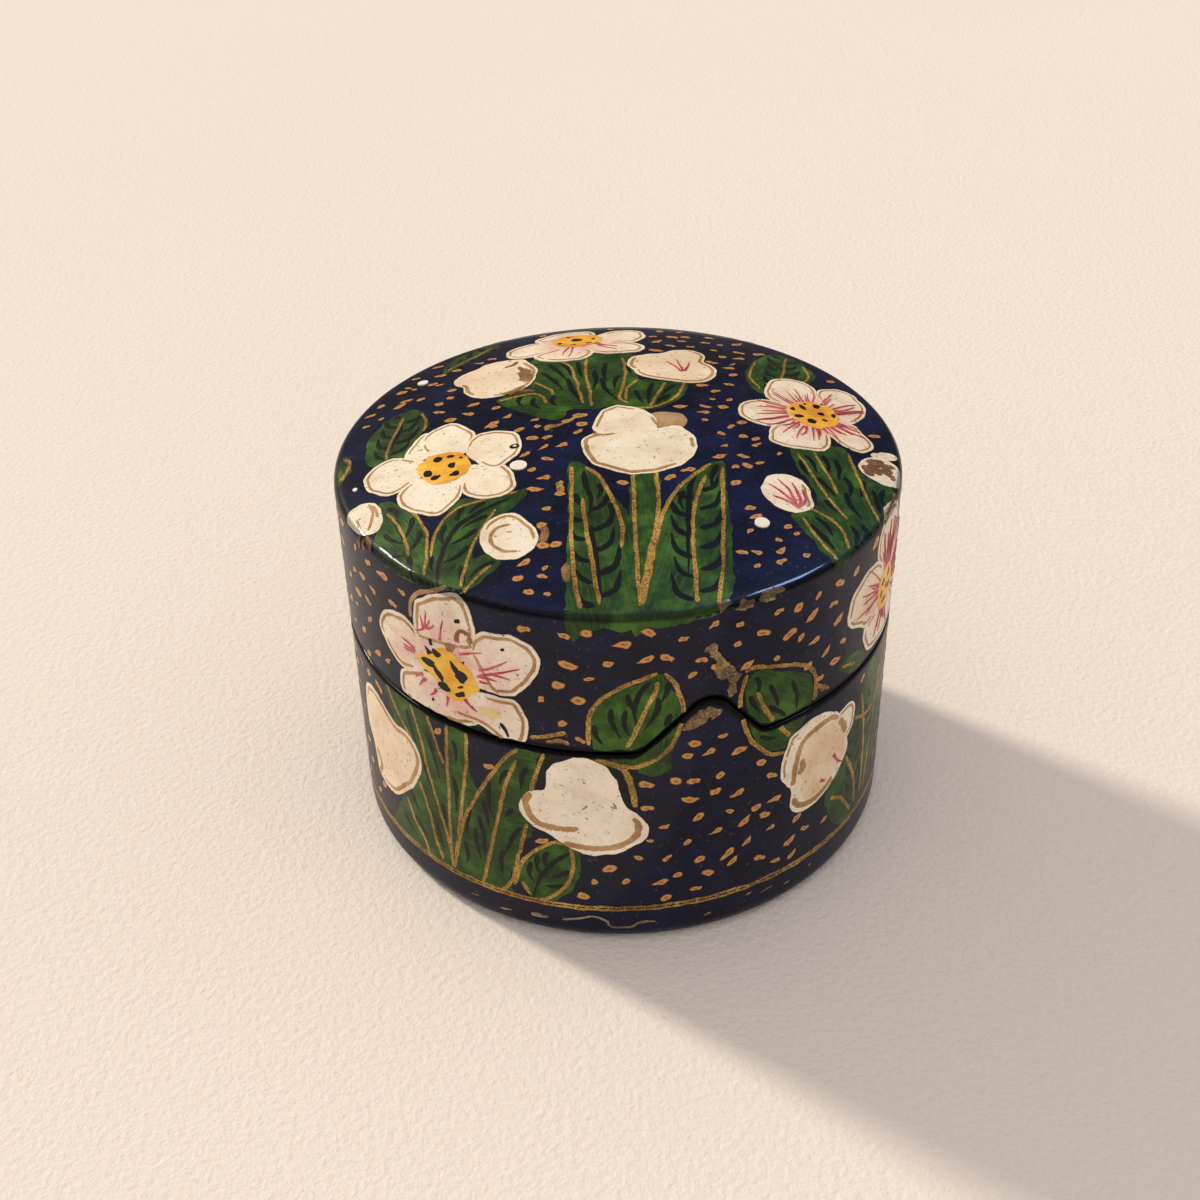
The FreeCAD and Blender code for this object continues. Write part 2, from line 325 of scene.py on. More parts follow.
def unsteady(point, amount, size):
    # The same each run
    place = Vector((point[0] / size, point[1] / size, 3.7))
    return (point[0] + amount * noise.noise(place),
            point[1] + amount * noise.noise(place + Vector((9.1, 4.3, 1.7))))


def handEdge(outline, wander=0.3, size=1.6, step=0.4, rounds=0):
    # Each round eases the corners a little
    points = smooth(outline, True, step)
    for _ in range(rounds):
        points = [(before + 2 * point + after) / 4 for before, point, after in
                  zip(points[-1:] + points[:-1], points, points[1:] + points[:1])]
    return [unsteady(unsteady(point, wander, size), wander * tremor["share"], tremor["size"]) for point in points]


# Width of the bare black band either side of the seam, where no paint lies
seamBand = {"width": 0.58, "wander": 0.24, "size": 1.4}


def bandAt(x, above):
    return seamBand["width"] + seamBand["wander"] * noise.noise(Vector((x / seamBand["size"], 4.0 * above, 1.5)))


def sideOfSeam(chart, x, y):
    angle, along = charts[chart](x, y)
    if along < wallStart:
        return "lid"
    away = shoulderUp - (along - wallStart) - seamHeight(angle, outer)
    if away > bandAt(angle * outer, 1) + form["seamGap"]:
        return "lid"
    return "base" if away < -bandAt(angle * outer, 0) else None


# Spacing of the points inside a painted area, and how far round the shoulder they lie close together
grid = {
    "spacing": 1.1,
    "aroundTop": 1.15,
    "close": 0.2,
    "beforeShoulder": 1.4,
    "pastShoulder": 0.6,
    "fromOutline": 0.3,
    "alongSeam": 0.3,
    "belowSeam": 1.0,
    "aboveWave": 1.5,
}


def lattice(chart, outline):
    xs = [point[0] for point in outline]
    ys = [point[1] for point in outline]
    low, high = (min(xs), min(ys)), (max(xs), max(ys))
    found = []
    row = 0
    if chart == "wall":
        height = math.floor(low[1])
        while height < high[1]:
            close = height > shoulderUp - grid["beforeShoulder"]
            x = math.floor(low[0]) + (0 if close else grid["spacing"] / 2 * (row % 2))
            while x < high[0]:
                found.append((x, height))
                x += grid["spacing"]
            height += grid["close"] if close else grid["spacing"]
            row += 1
    else:
        along = 0.6
        while along < heelEnd:
            close = domeArc - grid["beforeShoulder"] < along < wallStart + grid["pastShoulder"]
            count = max(6, round(2 * math.pi * (domeArc if close else along) / grid["aroundTop"]))
            for index in range(count):
                angle = 2 * math.pi * (index + (0 if close else 0.5 * (row % 2))) / count
                found.append((along * math.sin(angle), -along * math.cos(angle)))
            along += grid["close"] if close else grid["spacing"]
            row += 1
    picked = []
    for x, y in found:
        if low[0] < x < high[0] and low[1] < y < high[1] and inside(outline, x, y):
            if min((x - px) ** 2 + (y - py) ** 2 for px, py in outline) > grid["fromOutline"] ** 2:
                picked.append((x, y))
    return picked


def area(chart, finish, outline, lift, brush=None, cover=True):
    # Fills a closed outline with paint; where it crosses the seam it is parted between lid and base
    outline = [tuple(point) for point in outline]
    points = [Vector(point) for point in outline]
    edges = [(index, (index + 1) % len(points)) for index in range(len(points))]
    points += [Vector(point) for point in lattice(chart, outline)]
    xs = [point[0] for point in outline]
    ys = [point[1] for point in outline]
    waveTop = form["seam"] + form["waveRise"] + grid["aboveWave"]
    if chart == "wall" and min(ys) < waveTop and max(ys) > form["seam"] - grid["belowSeam"]:
        for above in (0, 1):
            x = min(xs) - 0.5
            last = None
            while x < max(xs) + 0.5:
                shift = bandAt(x, above) + form["seamGap"] if above else -bandAt(x, above)
                points.append(Vector((x, seamHeight(x / outer, outer) + shift)))
                if last is not None:
                    edges.append((last, len(points) - 1))
                last = len(points) - 1
                x += grid["alongSeam"]
    found, _, faces, *_ = geometry.delaunay_2d_cdt(points, edges, [], 0, 1e-5)
    kept = {"lid": [], "base": []}
    for face in faces:
        x = sum(found[corner][0] for corner in face) / 3
        y = sum(found[corner][1] for corner in face) / 3
        if not inside(outline, x, y):
            continue
        side = sideOfSeam(chart, x, y)
        if side:
            a, b, c = (found[corner] for corner in face)
            if (b - a).cross(c - a) < 0:
                face = face[::-1]
            kept[side].append(list(face))
    for side, faces in kept.items():
        if not faces:
            continue
        used = sorted({corner for face in faces for corner in face})
        index = {corner: place for place, corner in enumerate(used)}
        spots = [tuple(found[corner]) for corner in used]
        rim = edgeCorners(faces)
        upper = [onSurface(*charts[chart](x, y), lift - (lifts["rimDrop"] if corner in rim else 0.0))
                 for corner, (x, y) in zip(used, spots)]
        lower = [onSurface(*charts[chart](x, y), paintSink) for x, y in spots]
        strokes = [brush(x, y) if brush else (x, y, 0.5) for x, y in spots]
        addSolid(side, finish, upper, lower, [[index[corner] for corner in face] for face in faces], strokes)
    if cover:
        inkedAreas[chart].append(outline)


def edgeCorners(faces):
    edges = set()
    for face in faces:
        edges.update(zip(face, face[1:] + face[:1]))
    return {corner for edge in edges if edge[::-1] not in edges for corner in edge}


# How a brush line's width runs from its start to its end
swells = {
    "line": lambda share: min(1.0, 0.5 + 8 * min(share, 1 - share)),
    "tick": lambda share: 0.15 + 0.95 * math.sin(math.pi * min(1, share ** 0.6 * 0.98 + 0.01)),
    "tail": lambda share: 0.12 + 0.95 * (1 - share) ** 0.6,
}

brushLine = {"step": 0.45, "wander": 0.16, "wanderSize": 1.9, "uneven": 0.35, "unevenScale": 1.4, "nearShoulder": 0.7}


def ribbon(chart, finish, points, width, lift, taper="line", wander=brushLine["wander"], limit=None):
    # A brush line along a soft curve; a "line" keeps its width, a "tick" swells and a "tail" runs out
    path = []
    for point in smooth(points, False, brushLine["step"]):
        near = charts[chart](*point)[1]
        if path and domeArc - brushLine["nearShoulder"] < near < wallStart + grid["pastShoulder"]:
            last = Vector(path[-1])
            path += [tuple(last.lerp(point, share)) for share in (0.34, 0.67)]
        path.append(tuple(point))
    path = [unsteady(point, wander, brushLine["wanderSize"]) for point in path]
    runs, current = [], None
    for index, (x, y) in enumerate(path):
        before, after = path[max(index - 1, 0)], path[min(index + 1, len(path) - 1)]
        ahead = Vector((after[0] - before[0], after[1] - before[1]))
        body = sideOfSeam(chart, x, y)
        if ahead.length == 0 or body is None or (limit and not inside(limit, x, y)):
            current = None
            continue
        if current is None or current[0] != body:
            current = (body, [])
            runs.append(current)
        share = index / (len(path) - 1)
        uneven = noise.noise(Vector((x * brushLine["unevenScale"], y * brushLine["unevenScale"], 8.0)))
        half = width / 2 * swells[taper](share) * (1 + brushLine["uneven"] * uneven)
        current[1].append(((x, y), Vector((-ahead.y, ahead.x)).normalized() * half, share))
    for body, members in runs:
        if len(members) < 2:
            continue
        upper, lower, faces, brush = [], [], [], []
        for (x, y), side, share in members:
            for across in (-1, 0, 1):
                place = charts[chart](x - side.x * across, y - side.y * across)
                upper.append(onSurface(*place, lift - (lifts["rimDrop"] if across else 0.0)))
                lower.append(onSurface(*place, paintSink))
                brush.append((share * 10, across * side.length, 0.5))
        for row in range(len(members) - 1):
            for across in (0, 1):
                low = row * 3 + across
                faces.append([low, low + 1, low + 4, low + 3])
        addSolid(body, finish, upper, lower, faces, brush)


def spot(chart, finish, x, y, wide, tall, lift, turn=0.0, lumpy=0.25):
    # One touch of the brush
    body = sideOfSeam(chart, x, y)
    if body is None:
        return
    corners = 13
    upper, lower, brush = [], [], []
    cosTurn, sinTurn = math.cos(math.radians(turn)), math.sin(math.radians(turn))
    for index in range(corners + 1):
        px = py = 0.0
        if index < corners:
            angle = 2 * math.pi * index / corners
            near = Vector((x + math.cos(angle) * 0.8, y + math.sin(angle) * 0.8, 2.2))
            swell = 1 + lumpy * 2 * noise.noise(near)
            px, py = wide / 2 * swell * math.cos(angle), tall / 2 * swell * math.sin(angle)
        place = charts[chart](x + px * cosTurn - py * sinTurn, y + px * sinTurn + py * cosTurn)
        upper.append(onSurface(*place, lift - (lifts["rimDrop"] if index < corners else 0.0)))
        lower.append(onSurface(*place, paintSink))
        brush.append((x + px, y + py, 0.5))
    faces = [[index, (index + 1) % corners, corners] for index in range(corners)]
    addSolid(body, finish, upper, lower, faces, brush)


leaves = {"wander": 0.34, "wanderSize": 1.4, "strokeWidth": 0.74, "giltWidth": 0.56}


def leaf(chart, outline, gilt=(), veins=(), strokes=(), giltWidth=leaves["giltWidth"], finish="leafGreen"):
    # Green ground, dark strokes, gilt ribs and edges
    edge = handEdge(outline, leaves["wander"], leaves["wanderSize"])
    first, last = Vector(outline[0]), Vector(outline[len(outline) // 2])
    axis = (last - first).normalized()

    def brush(x, y):
        offset = Vector((x, y)) - first
        return (offset.dot(axis), offset.cross(axis), 0.5)

    area(chart, finish, edge, lifts["leaf"], brush)
    for start, end, left, right, spacing in veins:
        fishbone(chart, start, end, left, right, spacing, edge)
    for stroke in strokes:
        ribbon(chart, "veinBlack", stroke, leaves["strokeWidth"], lifts["vein"], "tick")
    for line in gilt:
        ribbon(chart, "giltPaint", line, giltWidth, lifts["gilt"])


# The dark hooks either side of a rib, as shares of the spacing and of the reach
hooks = {"first": 0.15, "otherSide": 0.45, "uneven": 0.4, "root": 0.35, "bend": 0.72, "bendRise": 0.38,
         "tipRise": 1.45, "width": 0.86}


def fishbone(chart, start, end, left, right, spacing, limit):
    # Each hook rises from the rib towards the tip and curls in along the edge
    start, end = Vector(start), Vector(end)
    ahead = (end - start).normalized()
    side = Vector((-ahead.y, ahead.x))
    length = (end - start).length
    for reach, hand, shift in ((left, 1, 0.0), (right, -1, hooks["otherSide"])):
        place = spacing * (hooks["first"] + shift)
        while reach and place < length:
            wander = 1 + hooks["uneven"] * noise.noise(Vector((start.x + place * 0.7, start.y, hand * 3.0)))
            root = start + ahead * place + side * hand * hooks["root"]
            bend = root + side * hand * reach * hooks["bend"] * wander + ahead * reach * hooks["bendRise"]
            tip = root + side * hand * reach * wander + ahead * reach * hooks["tipRise"] * wander
            ribbon(chart, "veinBlack", [root, bend, tip], hooks["width"] * wander, lifts["vein"], "tick", limit=limit)
            place += spacing * (0.85 + 0.3 * wander)


def inset(edge, depth):
    # The same closed line drawn a little way in
    count = len(edge)
    found = []
    for index in range(count):
        before, after = edge[index - 2], edge[(index + 2) % count]
        ahead = Vector((after[0] - before[0], after[1] - before[1])).normalized()
        x, y = edge[index][0] - ahead.y * depth, edge[index][1] + ahead.x * depth
        clear = min((x - px) ** 2 + (y - py) ** 2 for px, py in edge) > (0.82 * depth) ** 2
        found.append((x, y) if clear and inside(edge, x, y) else None)
    return found


def turnLeft(outline):
    # Makes a closed outline run anticlockwise
    size = sum(ax * by - bx * ay for (ax, ay), (bx, by) in zip(outline, outline[1:] + outline[:1]))
    return outline if size > 0 else outline[::-1]


petals = {"wander": 0.28, "wanderSize": 2.0, "rounds": 6, "clearOfHeart": 0.42}


def petal(chart, outline, order, finish="petalCream", centre=None, tan=((0.0, 1.0),), depth=0.62, width=0.45):
    # A pale shape with a tan line a little inside its edge, over the shares of its outline that are given
    edge = handEdge(turnLeft(outline), petals["wander"], petals["wanderSize"], rounds=petals["rounds"])
    middle = Vector(centre) if centre else sum((Vector(point) for point in outline), Vector((0, 0))) / len(outline)
    reach = max((Vector(point) - middle).length for point in outline)

    def brush(x, y):
        offset = Vector((x, y)) - middle
        return (offset.length, math.atan2(offset.y, offset.x) * 9, offset.length / reach)

    lift = lifts["petal"] + lifts["petalStep"] * order
    area(chart, finish, edge, lift, brush)
    line = inset(edge, depth)
    count = len(line)
    for start, end in tan:
        piece = []
        for step in [*range(int(start * count), int(end * count), 3), None]:
            point = None if step is None else line[step % count]
            if point and (not centre or (Vector(point) - middle).length > petals["clearOfHeart"] * reach):
                piece.append(point)
            elif len(piece) > 2:
                ribbon(chart, "outlineTan", piece, width, lift + lifts["outline"], wander=0.12)
                piece = []
    return edge


def flower(chart, middle, outlines, finish="petalRose", firstTan=((0.0, 1.0),), depth=0.62, width=0.45):
    # Petals laid one over the other round a middle; gives back their edges
    return [petal(chart, outline, order, finish=finish, centre=middle, tan=((0.0, 1.0),) if order else firstTan,
                  depth=depth, width=width) for order, outline in enumerate(outlines)]


# Crimson hairs: their fan in radians, their length as a share of the petal, and their width
hairs = {"fan": 0.13, "jitter": 0.05, "length": (0.3, 0.78), "width": (0.2, 0.42), "bend": 0.3, "stray": 0.4}


def rays(chart, centre, petalEdges, count, seed, start=3.6):
    # They run out from the heart along each petal
    hand = random.Random(seed)
    middle = Vector(centre)
    for edge in petalEdges:
        axis = (sum((Vector(point) for point in edge), Vector((0, 0))) / len(edge) - middle).normalized()
        reach = max((Vector(point) - middle).length for point in edge)
        for index in range(count):
            turn = (index - (count - 1) / 2) * hairs["fan"] + hand.uniform(-hairs["jitter"], hairs["jitter"])
            ahead = Matrix.Rotation(turn, 2) @ axis
            side = Vector((-ahead.y, ahead.x))
            root = middle + ahead * start * hand.uniform(0.9, 1.15)
            length = start + (reach - start) * hand.uniform(*hairs["length"])
            end = middle + ahead * length + side * hand.uniform(-hairs["stray"], hairs["stray"])
            bend = (root + end) / 2 + side * hand.uniform(-hairs["bend"], hairs["bend"])
            width = hand.uniform(*hairs["width"])
            ribbon(chart, "crimsonPaint", [root, bend, end], width, lifts["rays"], "tail", limit=edge)


def heart(chart, outline, blots):
    # Yellow middle with dark touches, each (x, y, wide, tall, turn)
    area(chart, "heartYellow", handEdge(outline, 0.45, 1.0), lifts["heart"])
    for blot in blots:
        spot(chart, "seedBlack", *blot[:4], lifts["seed"], blot[4], 0.35)


def ring(x, y, wide, tall, turn=0.0, corners=9):
    cosTurn, sinTurn = math.cos(math.radians(turn)), math.sin(math.radians(turn))
    found = []
    for index in range(corners):
        angle = 2 * math.pi * index / corners
        px, py = wide / 2 * math.cos(angle), tall / 2 * math.sin(angle)
        found.append((x + px * cosTurn - py * sinTurn, y + px * sinTurn + py * cosTurn))
    return found


def tanLines(chart, order, *lines, width=0.55):
    for line in lines:
        lift = lifts["petal"] + lifts["petalStep"] * order + lifts["outline"]
        ribbon(chart, "outlineTan", line, width, lift, wander=0.15)


def crimsonLines(chart, *lines, width=0.45):
    for line in lines:
        ribbon(chart, "crimsonPaint", line, width, lifts["rays"], "tail")


# The painting on top of the lid

def paintFrontLeaves():
    leaf("top", [(-6.6, -10.8), (-4.2, -11.4), (-0.6, -18.2), (1.6, -24), (1.7, -41), (-2.6, -41.6), (-5, -42.6),
                 (-6.8, -42.4), (-6.6, -30), (-6.5, -18)],
         gilt=[[(-6.2, -11.4), (-6, -28), (-5.4, -36), (-4.8, -38.8)], [(-4.7, -18.6), (-4.1, -25), (-2.5, -38.4)],
               [(-4.4, -11.6), (-2.2, -14.4), (0.3, -23), (0.4, -28.4)]],
         veins=[((-2.6, -39.0), (-4.4, -19.0), 2.1, 3.0, 3.4)],
         strokes=[[(-4.6, -12.4), (-4.3, -15.6), (-3.6, -19), (-3.8, -22.6)],
                  [(-5.6, -17.4), (-5.2, -19.4), (-4.6, -20.4)], [(-2.6, -15.4), (-2.2, -17.0), (-2.8, -18.8)],
                  [(-1.0, -19.6), (-0.8, -21.8), (-1.4, -23.8)], [(-3.6, -24.0), (-3.0, -30), (-2.2, -37.6)]])
    leaf("top", [(1.8, -12), (3.4, -11.2), (5.3, -12), (5.6, -18), (4.4, -34), (4, -41.2), (1.2, -41.2), (1.4, -24)],
         gilt=[[(2.1, -12.4), (2.1, -24), (2.6, -38.6)], [(5.1, -12.6), (5.3, -21.4), (3.4, -32.6), (2.7, -38.6)]])
    leaf("top", [(14, -9.8), (9.8, -13.4), (6.2, -21), (3.2, -34), (3, -41.2), (8, -41), (13.6, -38.6), (14.4, -36),
                 (14.6, -14)],
         gilt=[[(12.6, -10.6), (7.8, -17), (5.4, -24), (3, -38.2)], [(11.8, -13.4), (9.8, -22), (9.7, -37.8)],
               [(14.2, -11.2), (13.4, -29), (12.4, -38)]],
         veins=[((9.7, -38.0), (10.4, -15.0), 3.0, 3.0, 3.3)],
         strokes=[[(13.6, -10.6), (12.6, -13.6), (12.4, -16)], [(10.4, -13.6), (9.4, -18.4), (8.8, -33)],
                  [(8.8, -17.0), (8.2, -19.2), (8.6, -21)]])


def paintLeftLeaves():
    leaf("top", [(-31.8, 9.2), (-29.6, 9.6), (-27.8, 7.6), (-27, 4), (-28.4, 0), (-29.6, -4), (-34.6, -5.2),
                 (-35.9, 1.4), (-33.8, 7.2)],
         gilt=[[(-31, 7.4), (-32.3, -0.4), (-32.4, -4.2)], [(-28.4, 7.8), (-27.4, 5.0), (-27.6, 2.2)]],
         veins=[((-32.4, -4.4), (-31.0, 7.6), 2.4, 2.5, 2.6)],
         strokes=[[(-31.2, 5.4), (-31.4, 2.0), (-31.9, -1.6)]], giltWidth=0.42)
    leaf("top", [(-32.2, -14.8), (-29.9, -15.3), (-26.2, -20.3), (-24.9, -24), (-24.5, -28.7), (-23.2, -33),
                 (-29.6, -28.9), (-32.4, -23.6), (-31.8, -19.6)],
         gilt=[[(-28.8, -16.4), (-27, -18.7), (-25.1, -23.4), (-25, -30.6)],
               [(-31, -17.4), (-29, -20.8), (-27.7, -24.6), (-27.4, -26.8)]],
         strokes=[[(-31.2, -16.2), (-29.9, -17.2), (-29.4, -18.8)], [(-31.0, -21.6), (-29.9, -23.2), (-28.2, -24.0)],
                  [(-31.4, -24.2), (-29.6, -26.2), (-27.4, -26.6)], [(-27.4, -19.0), (-27.6, -21.6), (-28.2, -23.2)],
                  [(-26.2, -22.0), (-26.4, -24.2), (-27.2, -25.8)], [(-30.0, -18.8), (-28.8, -21.6), (-28.4, -23.6)],
                  [(-27.3, -26.4), (-27.0, -28.6), (-26.8, -31.0)]], giltWidth=0.42)
    leaf("top", [(-12.6, -15.8), (-13.2, -18.8), (-17.4, -23.2), (-18.9, -28.6), (-16.6, -28.2), (-15.1, -29.6),
                 (-16, -31.4), (-19.6, -34.6), (-21.6, -34), (-23.8, -33), (-23.9, -28.7), (-24.4, -24.5),
                 (-23.7, -21.6), (-21.2, -16.8), (-18.7, -16.9)],
         gilt=[[(-13.4, -16.2), (-18.4, -17.4), (-21.6, -18.8), (-23.4, -21.4), (-24.2, -24.2), (-24.4, -27.6)],
               [(-16.2, -19.6), (-18.8, -26), (-20.2, -33.6)], [(-16.4, -30.4), (-18.0, -32.0), (-19.8, -34.6)]],
         strokes=[[(-14.3, -17.4), (-18, -19.6), (-21, -22.2), (-22.6, -25.8), (-23.3, -29.6), (-23.2, -32.8)],
                  [(-20.4, -18.2), (-21.2, -20.0), (-21.0, -21.6)], [(-17.6, -17.8), (-18.6, -18.6), (-19.8, -20.0)],
                  [(-22.8, -21.6), (-23.2, -24.0), (-22.6, -25.6)], [(-17.2, -20.6), (-19.2, -21.6), (-20.6, -22.8)],
                  [(-18.4, -23.2), (-20.0, -24.6), (-21.8, -25.6)], [(-19.4, -26.2), (-20.8, -28.0), (-22.6, -29.0)],
                  [(-15.8, -29.8), (-17.8, -30.6), (-19.0, -32.2)], [(-20.4, -29.8), (-20.0, -32.0), (-19.8, -33.6)]],
         giltWidth=0.42)


def paintBackLeaves():
    leaf("top", [(-17.2, 8.6), (-15.2, 5.6), (-10.2, 1.7), (-8.8, 1.1), (-7.2, 2), (-6.6, 3.8), (-3.3, 3.8), (0, 4.4),
                 (3, 3.4), (6.7, 4.2), (9.9, 8.8), (10.2, 13.4), (5, 13), (3.2, 14.6), (2.4, 24.8), (-3, 25.6),
                 (-8, 23.6), (-12.6, 22.8), (-12, 16), (-12.8, 12.2), (-15, 10.2)],
         gilt=[[(-12.0, 13.6), (-9.6, 10.8), (-9.2, 9.0)], [(-16.8, 8.4), (-12.6, 9.8), (-10.8, 8.6), (-10, 6.2)],
               [(-9.4, 22.4), (-7, 19.6), (-6.2, 15.6), (-4.8, 5.6)],
               [(-4.4, 22), (-4.5, 15.8), (-3.8, 9.6), (-3.6, 4.6)],
               [(1, 22), (1.4, 16.6), (1.1, 11.4), (0.4, 7), (1.6, 5.4)], [(3.0, 13.2), (1.6, 10.0), (1.3, 6.4)],
               [(7.2, 12.2), (6.0, 8.4), (4.8, 4.6)], [(10, 12.6), (8.9, 8.2), (7.2, 5.6), (4.6, 4), (2, 3.8)]],
         strokes=[[(-10.2, 20.6), (-8.4, 16.8), (-7.4, 13.6)], [(-11.2, 17.6), (-9.2, 14.0), (-7.8, 10.2)],
                  [(-7.2, 14.4), (-6.2, 9.6), (-4.8, 5.2)], [(-8.4, 21.8), (-7.2, 18.4), (-6.6, 15.2)],
                  [(-3.2, 17.4), (-3.0, 13.4), (-3.3, 9.6)], [(-2.2, 14.2), (-1.6, 10.2), (0.2, 6.2)],
                  [(-1.6, 20.0), (-1.8, 16.2), (-1.4, 12.8)], [(-5.6, 20.8), (-5.6, 17.6), (-5.0, 14.6)],
                  [(0.6, 15.0), (-0.2, 12.6), (-0.2, 10.0)], [(2.4, 20.6), (2.0, 18.0), (2.2, 15.4)],
                  [(-13.6, 9.6), (-14.2, 7.6), (-13.4, 5.8)], [(-11.8, 8.4), (-12.0, 6.4), (-10.8, 4.6)],
                  [(-9.0, 8.6), (-9.2, 6.6), (-8.4, 5.2)], [(5.2, 12.0), (4.8, 9.0), (4.6, 5.4)],
                  [(2.8, 9.6), (3.2, 7.4), (4.0, 5.2)], [(8.6, 11.6), (7.4, 9.8), (6.6, 7.6)],
                  [(8.0, 8.2), (6.6, 6.8), (5.6, 5.2)]], giltWidth=0.45)
    leaf("top", [(27.2, 26.8), (29.4, 23.4), (29.8, 18), (23.6, 10), (20.4, 11.6), (19.4, 16.5), (20.8, 22.5),
                 (24, 27.2)],
         gilt=[[(26.4, 26.2), (25.2, 19.0), (23.4, 11.4)], [(21.2, 22.6), (20.0, 17.0), (21.0, 12.2)],
               [(28.8, 23.4), (29.0, 18.6), (26.8, 14.2)]],
         veins=[((23.4, 11.0), (26.0, 26.0), 2.0, 2.2, 2.6)], giltWidth=0.4)
    leaf("top", [(-26.4, 22), (-23.4, 24.4), (-20.6, 28.4), (-18.4, 30.8), (-19.4, 33.2), (-25.4, 27.8)],
         gilt=[[(-25.8, 23.2), (-22.4, 27.4), (-19.4, 31.6)]],
         veins=[((-25.6, 23.4), (-19.6, 31.4), 1.2, 1.2, 2.4)], giltWidth=0.4)


def paintRightLeaves():
    leaf("top", [(24.2, -4.6), (24.6, -10), (26, -13.2), (26.6, -17), (25.2, -19.6), (23, -20.8), (24, -23.2),
                 (27.6, -29), (29.6, -28.4), (35, -20.7), (37, -18.5), (38.6, -11.6), (36, -11), (33.6, -9.4),
                 (31.6, -3.4), (28, -3.4)],
         gilt=[[(27.2, -5.4), (29.2, -12.6), (29.6, -15)], [(25, -6.4), (28.2, -16), (30.4, -20.2)],
               [(32.2, -4.6), (33.7, -15), (35, -19.8)], [(25, -18.8), (27.8, -20.4), (29.6, -23), (30, -26)],
               [(24.4, -21.0), (26.2, -25.2), (28.2, -28.4)], [(38.0, -12.4), (37.2, -15.2), (36.0, -18.4)]],
         strokes=[[(25.2, -7.8), (25.4, -10.0), (26.2, -11.6)], [(26.0, -6.4), (27.0, -8.8), (27.2, -10.6)],
                  [(30.2, -6.6), (30.4, -9.4), (30.0, -11.8)], [(31.0, -10.6), (31.6, -13.0), (31.4, -15.2)],
                  [(27.0, -11.6), (28.4, -13.6), (29.4, -15.8)], [(27.6, -16.6), (28.8, -18.4), (30.2, -19.4)],
                  [(30.8, -14.4), (31.2, -17.2), (32.4, -19.8)], [(33.6, -10.8), (33.4, -13.0), (32.8, -15.0)],
                  [(34.8, -12.8), (35.0, -15.6), (35.2, -18.0)], [(36.4, -12.2), (35.8, -14.2), (35.8, -16.2)],
                  [(26.0, -20.6), (27.4, -22.2), (28.0, -24.2)], [(25.2, -22.2), (26.8, -24.6), (28.0, -26.8)],
                  [(30.6, -21.4), (31.4, -23.4), (31.0, -25.4)], [(32.2, -20.8), (32.8, -22.4), (32.4, -23.8)],
                  [(28.4, -6.0), (29.0, -8.6), (28.6, -10.6)]], giltWidth=0.42)


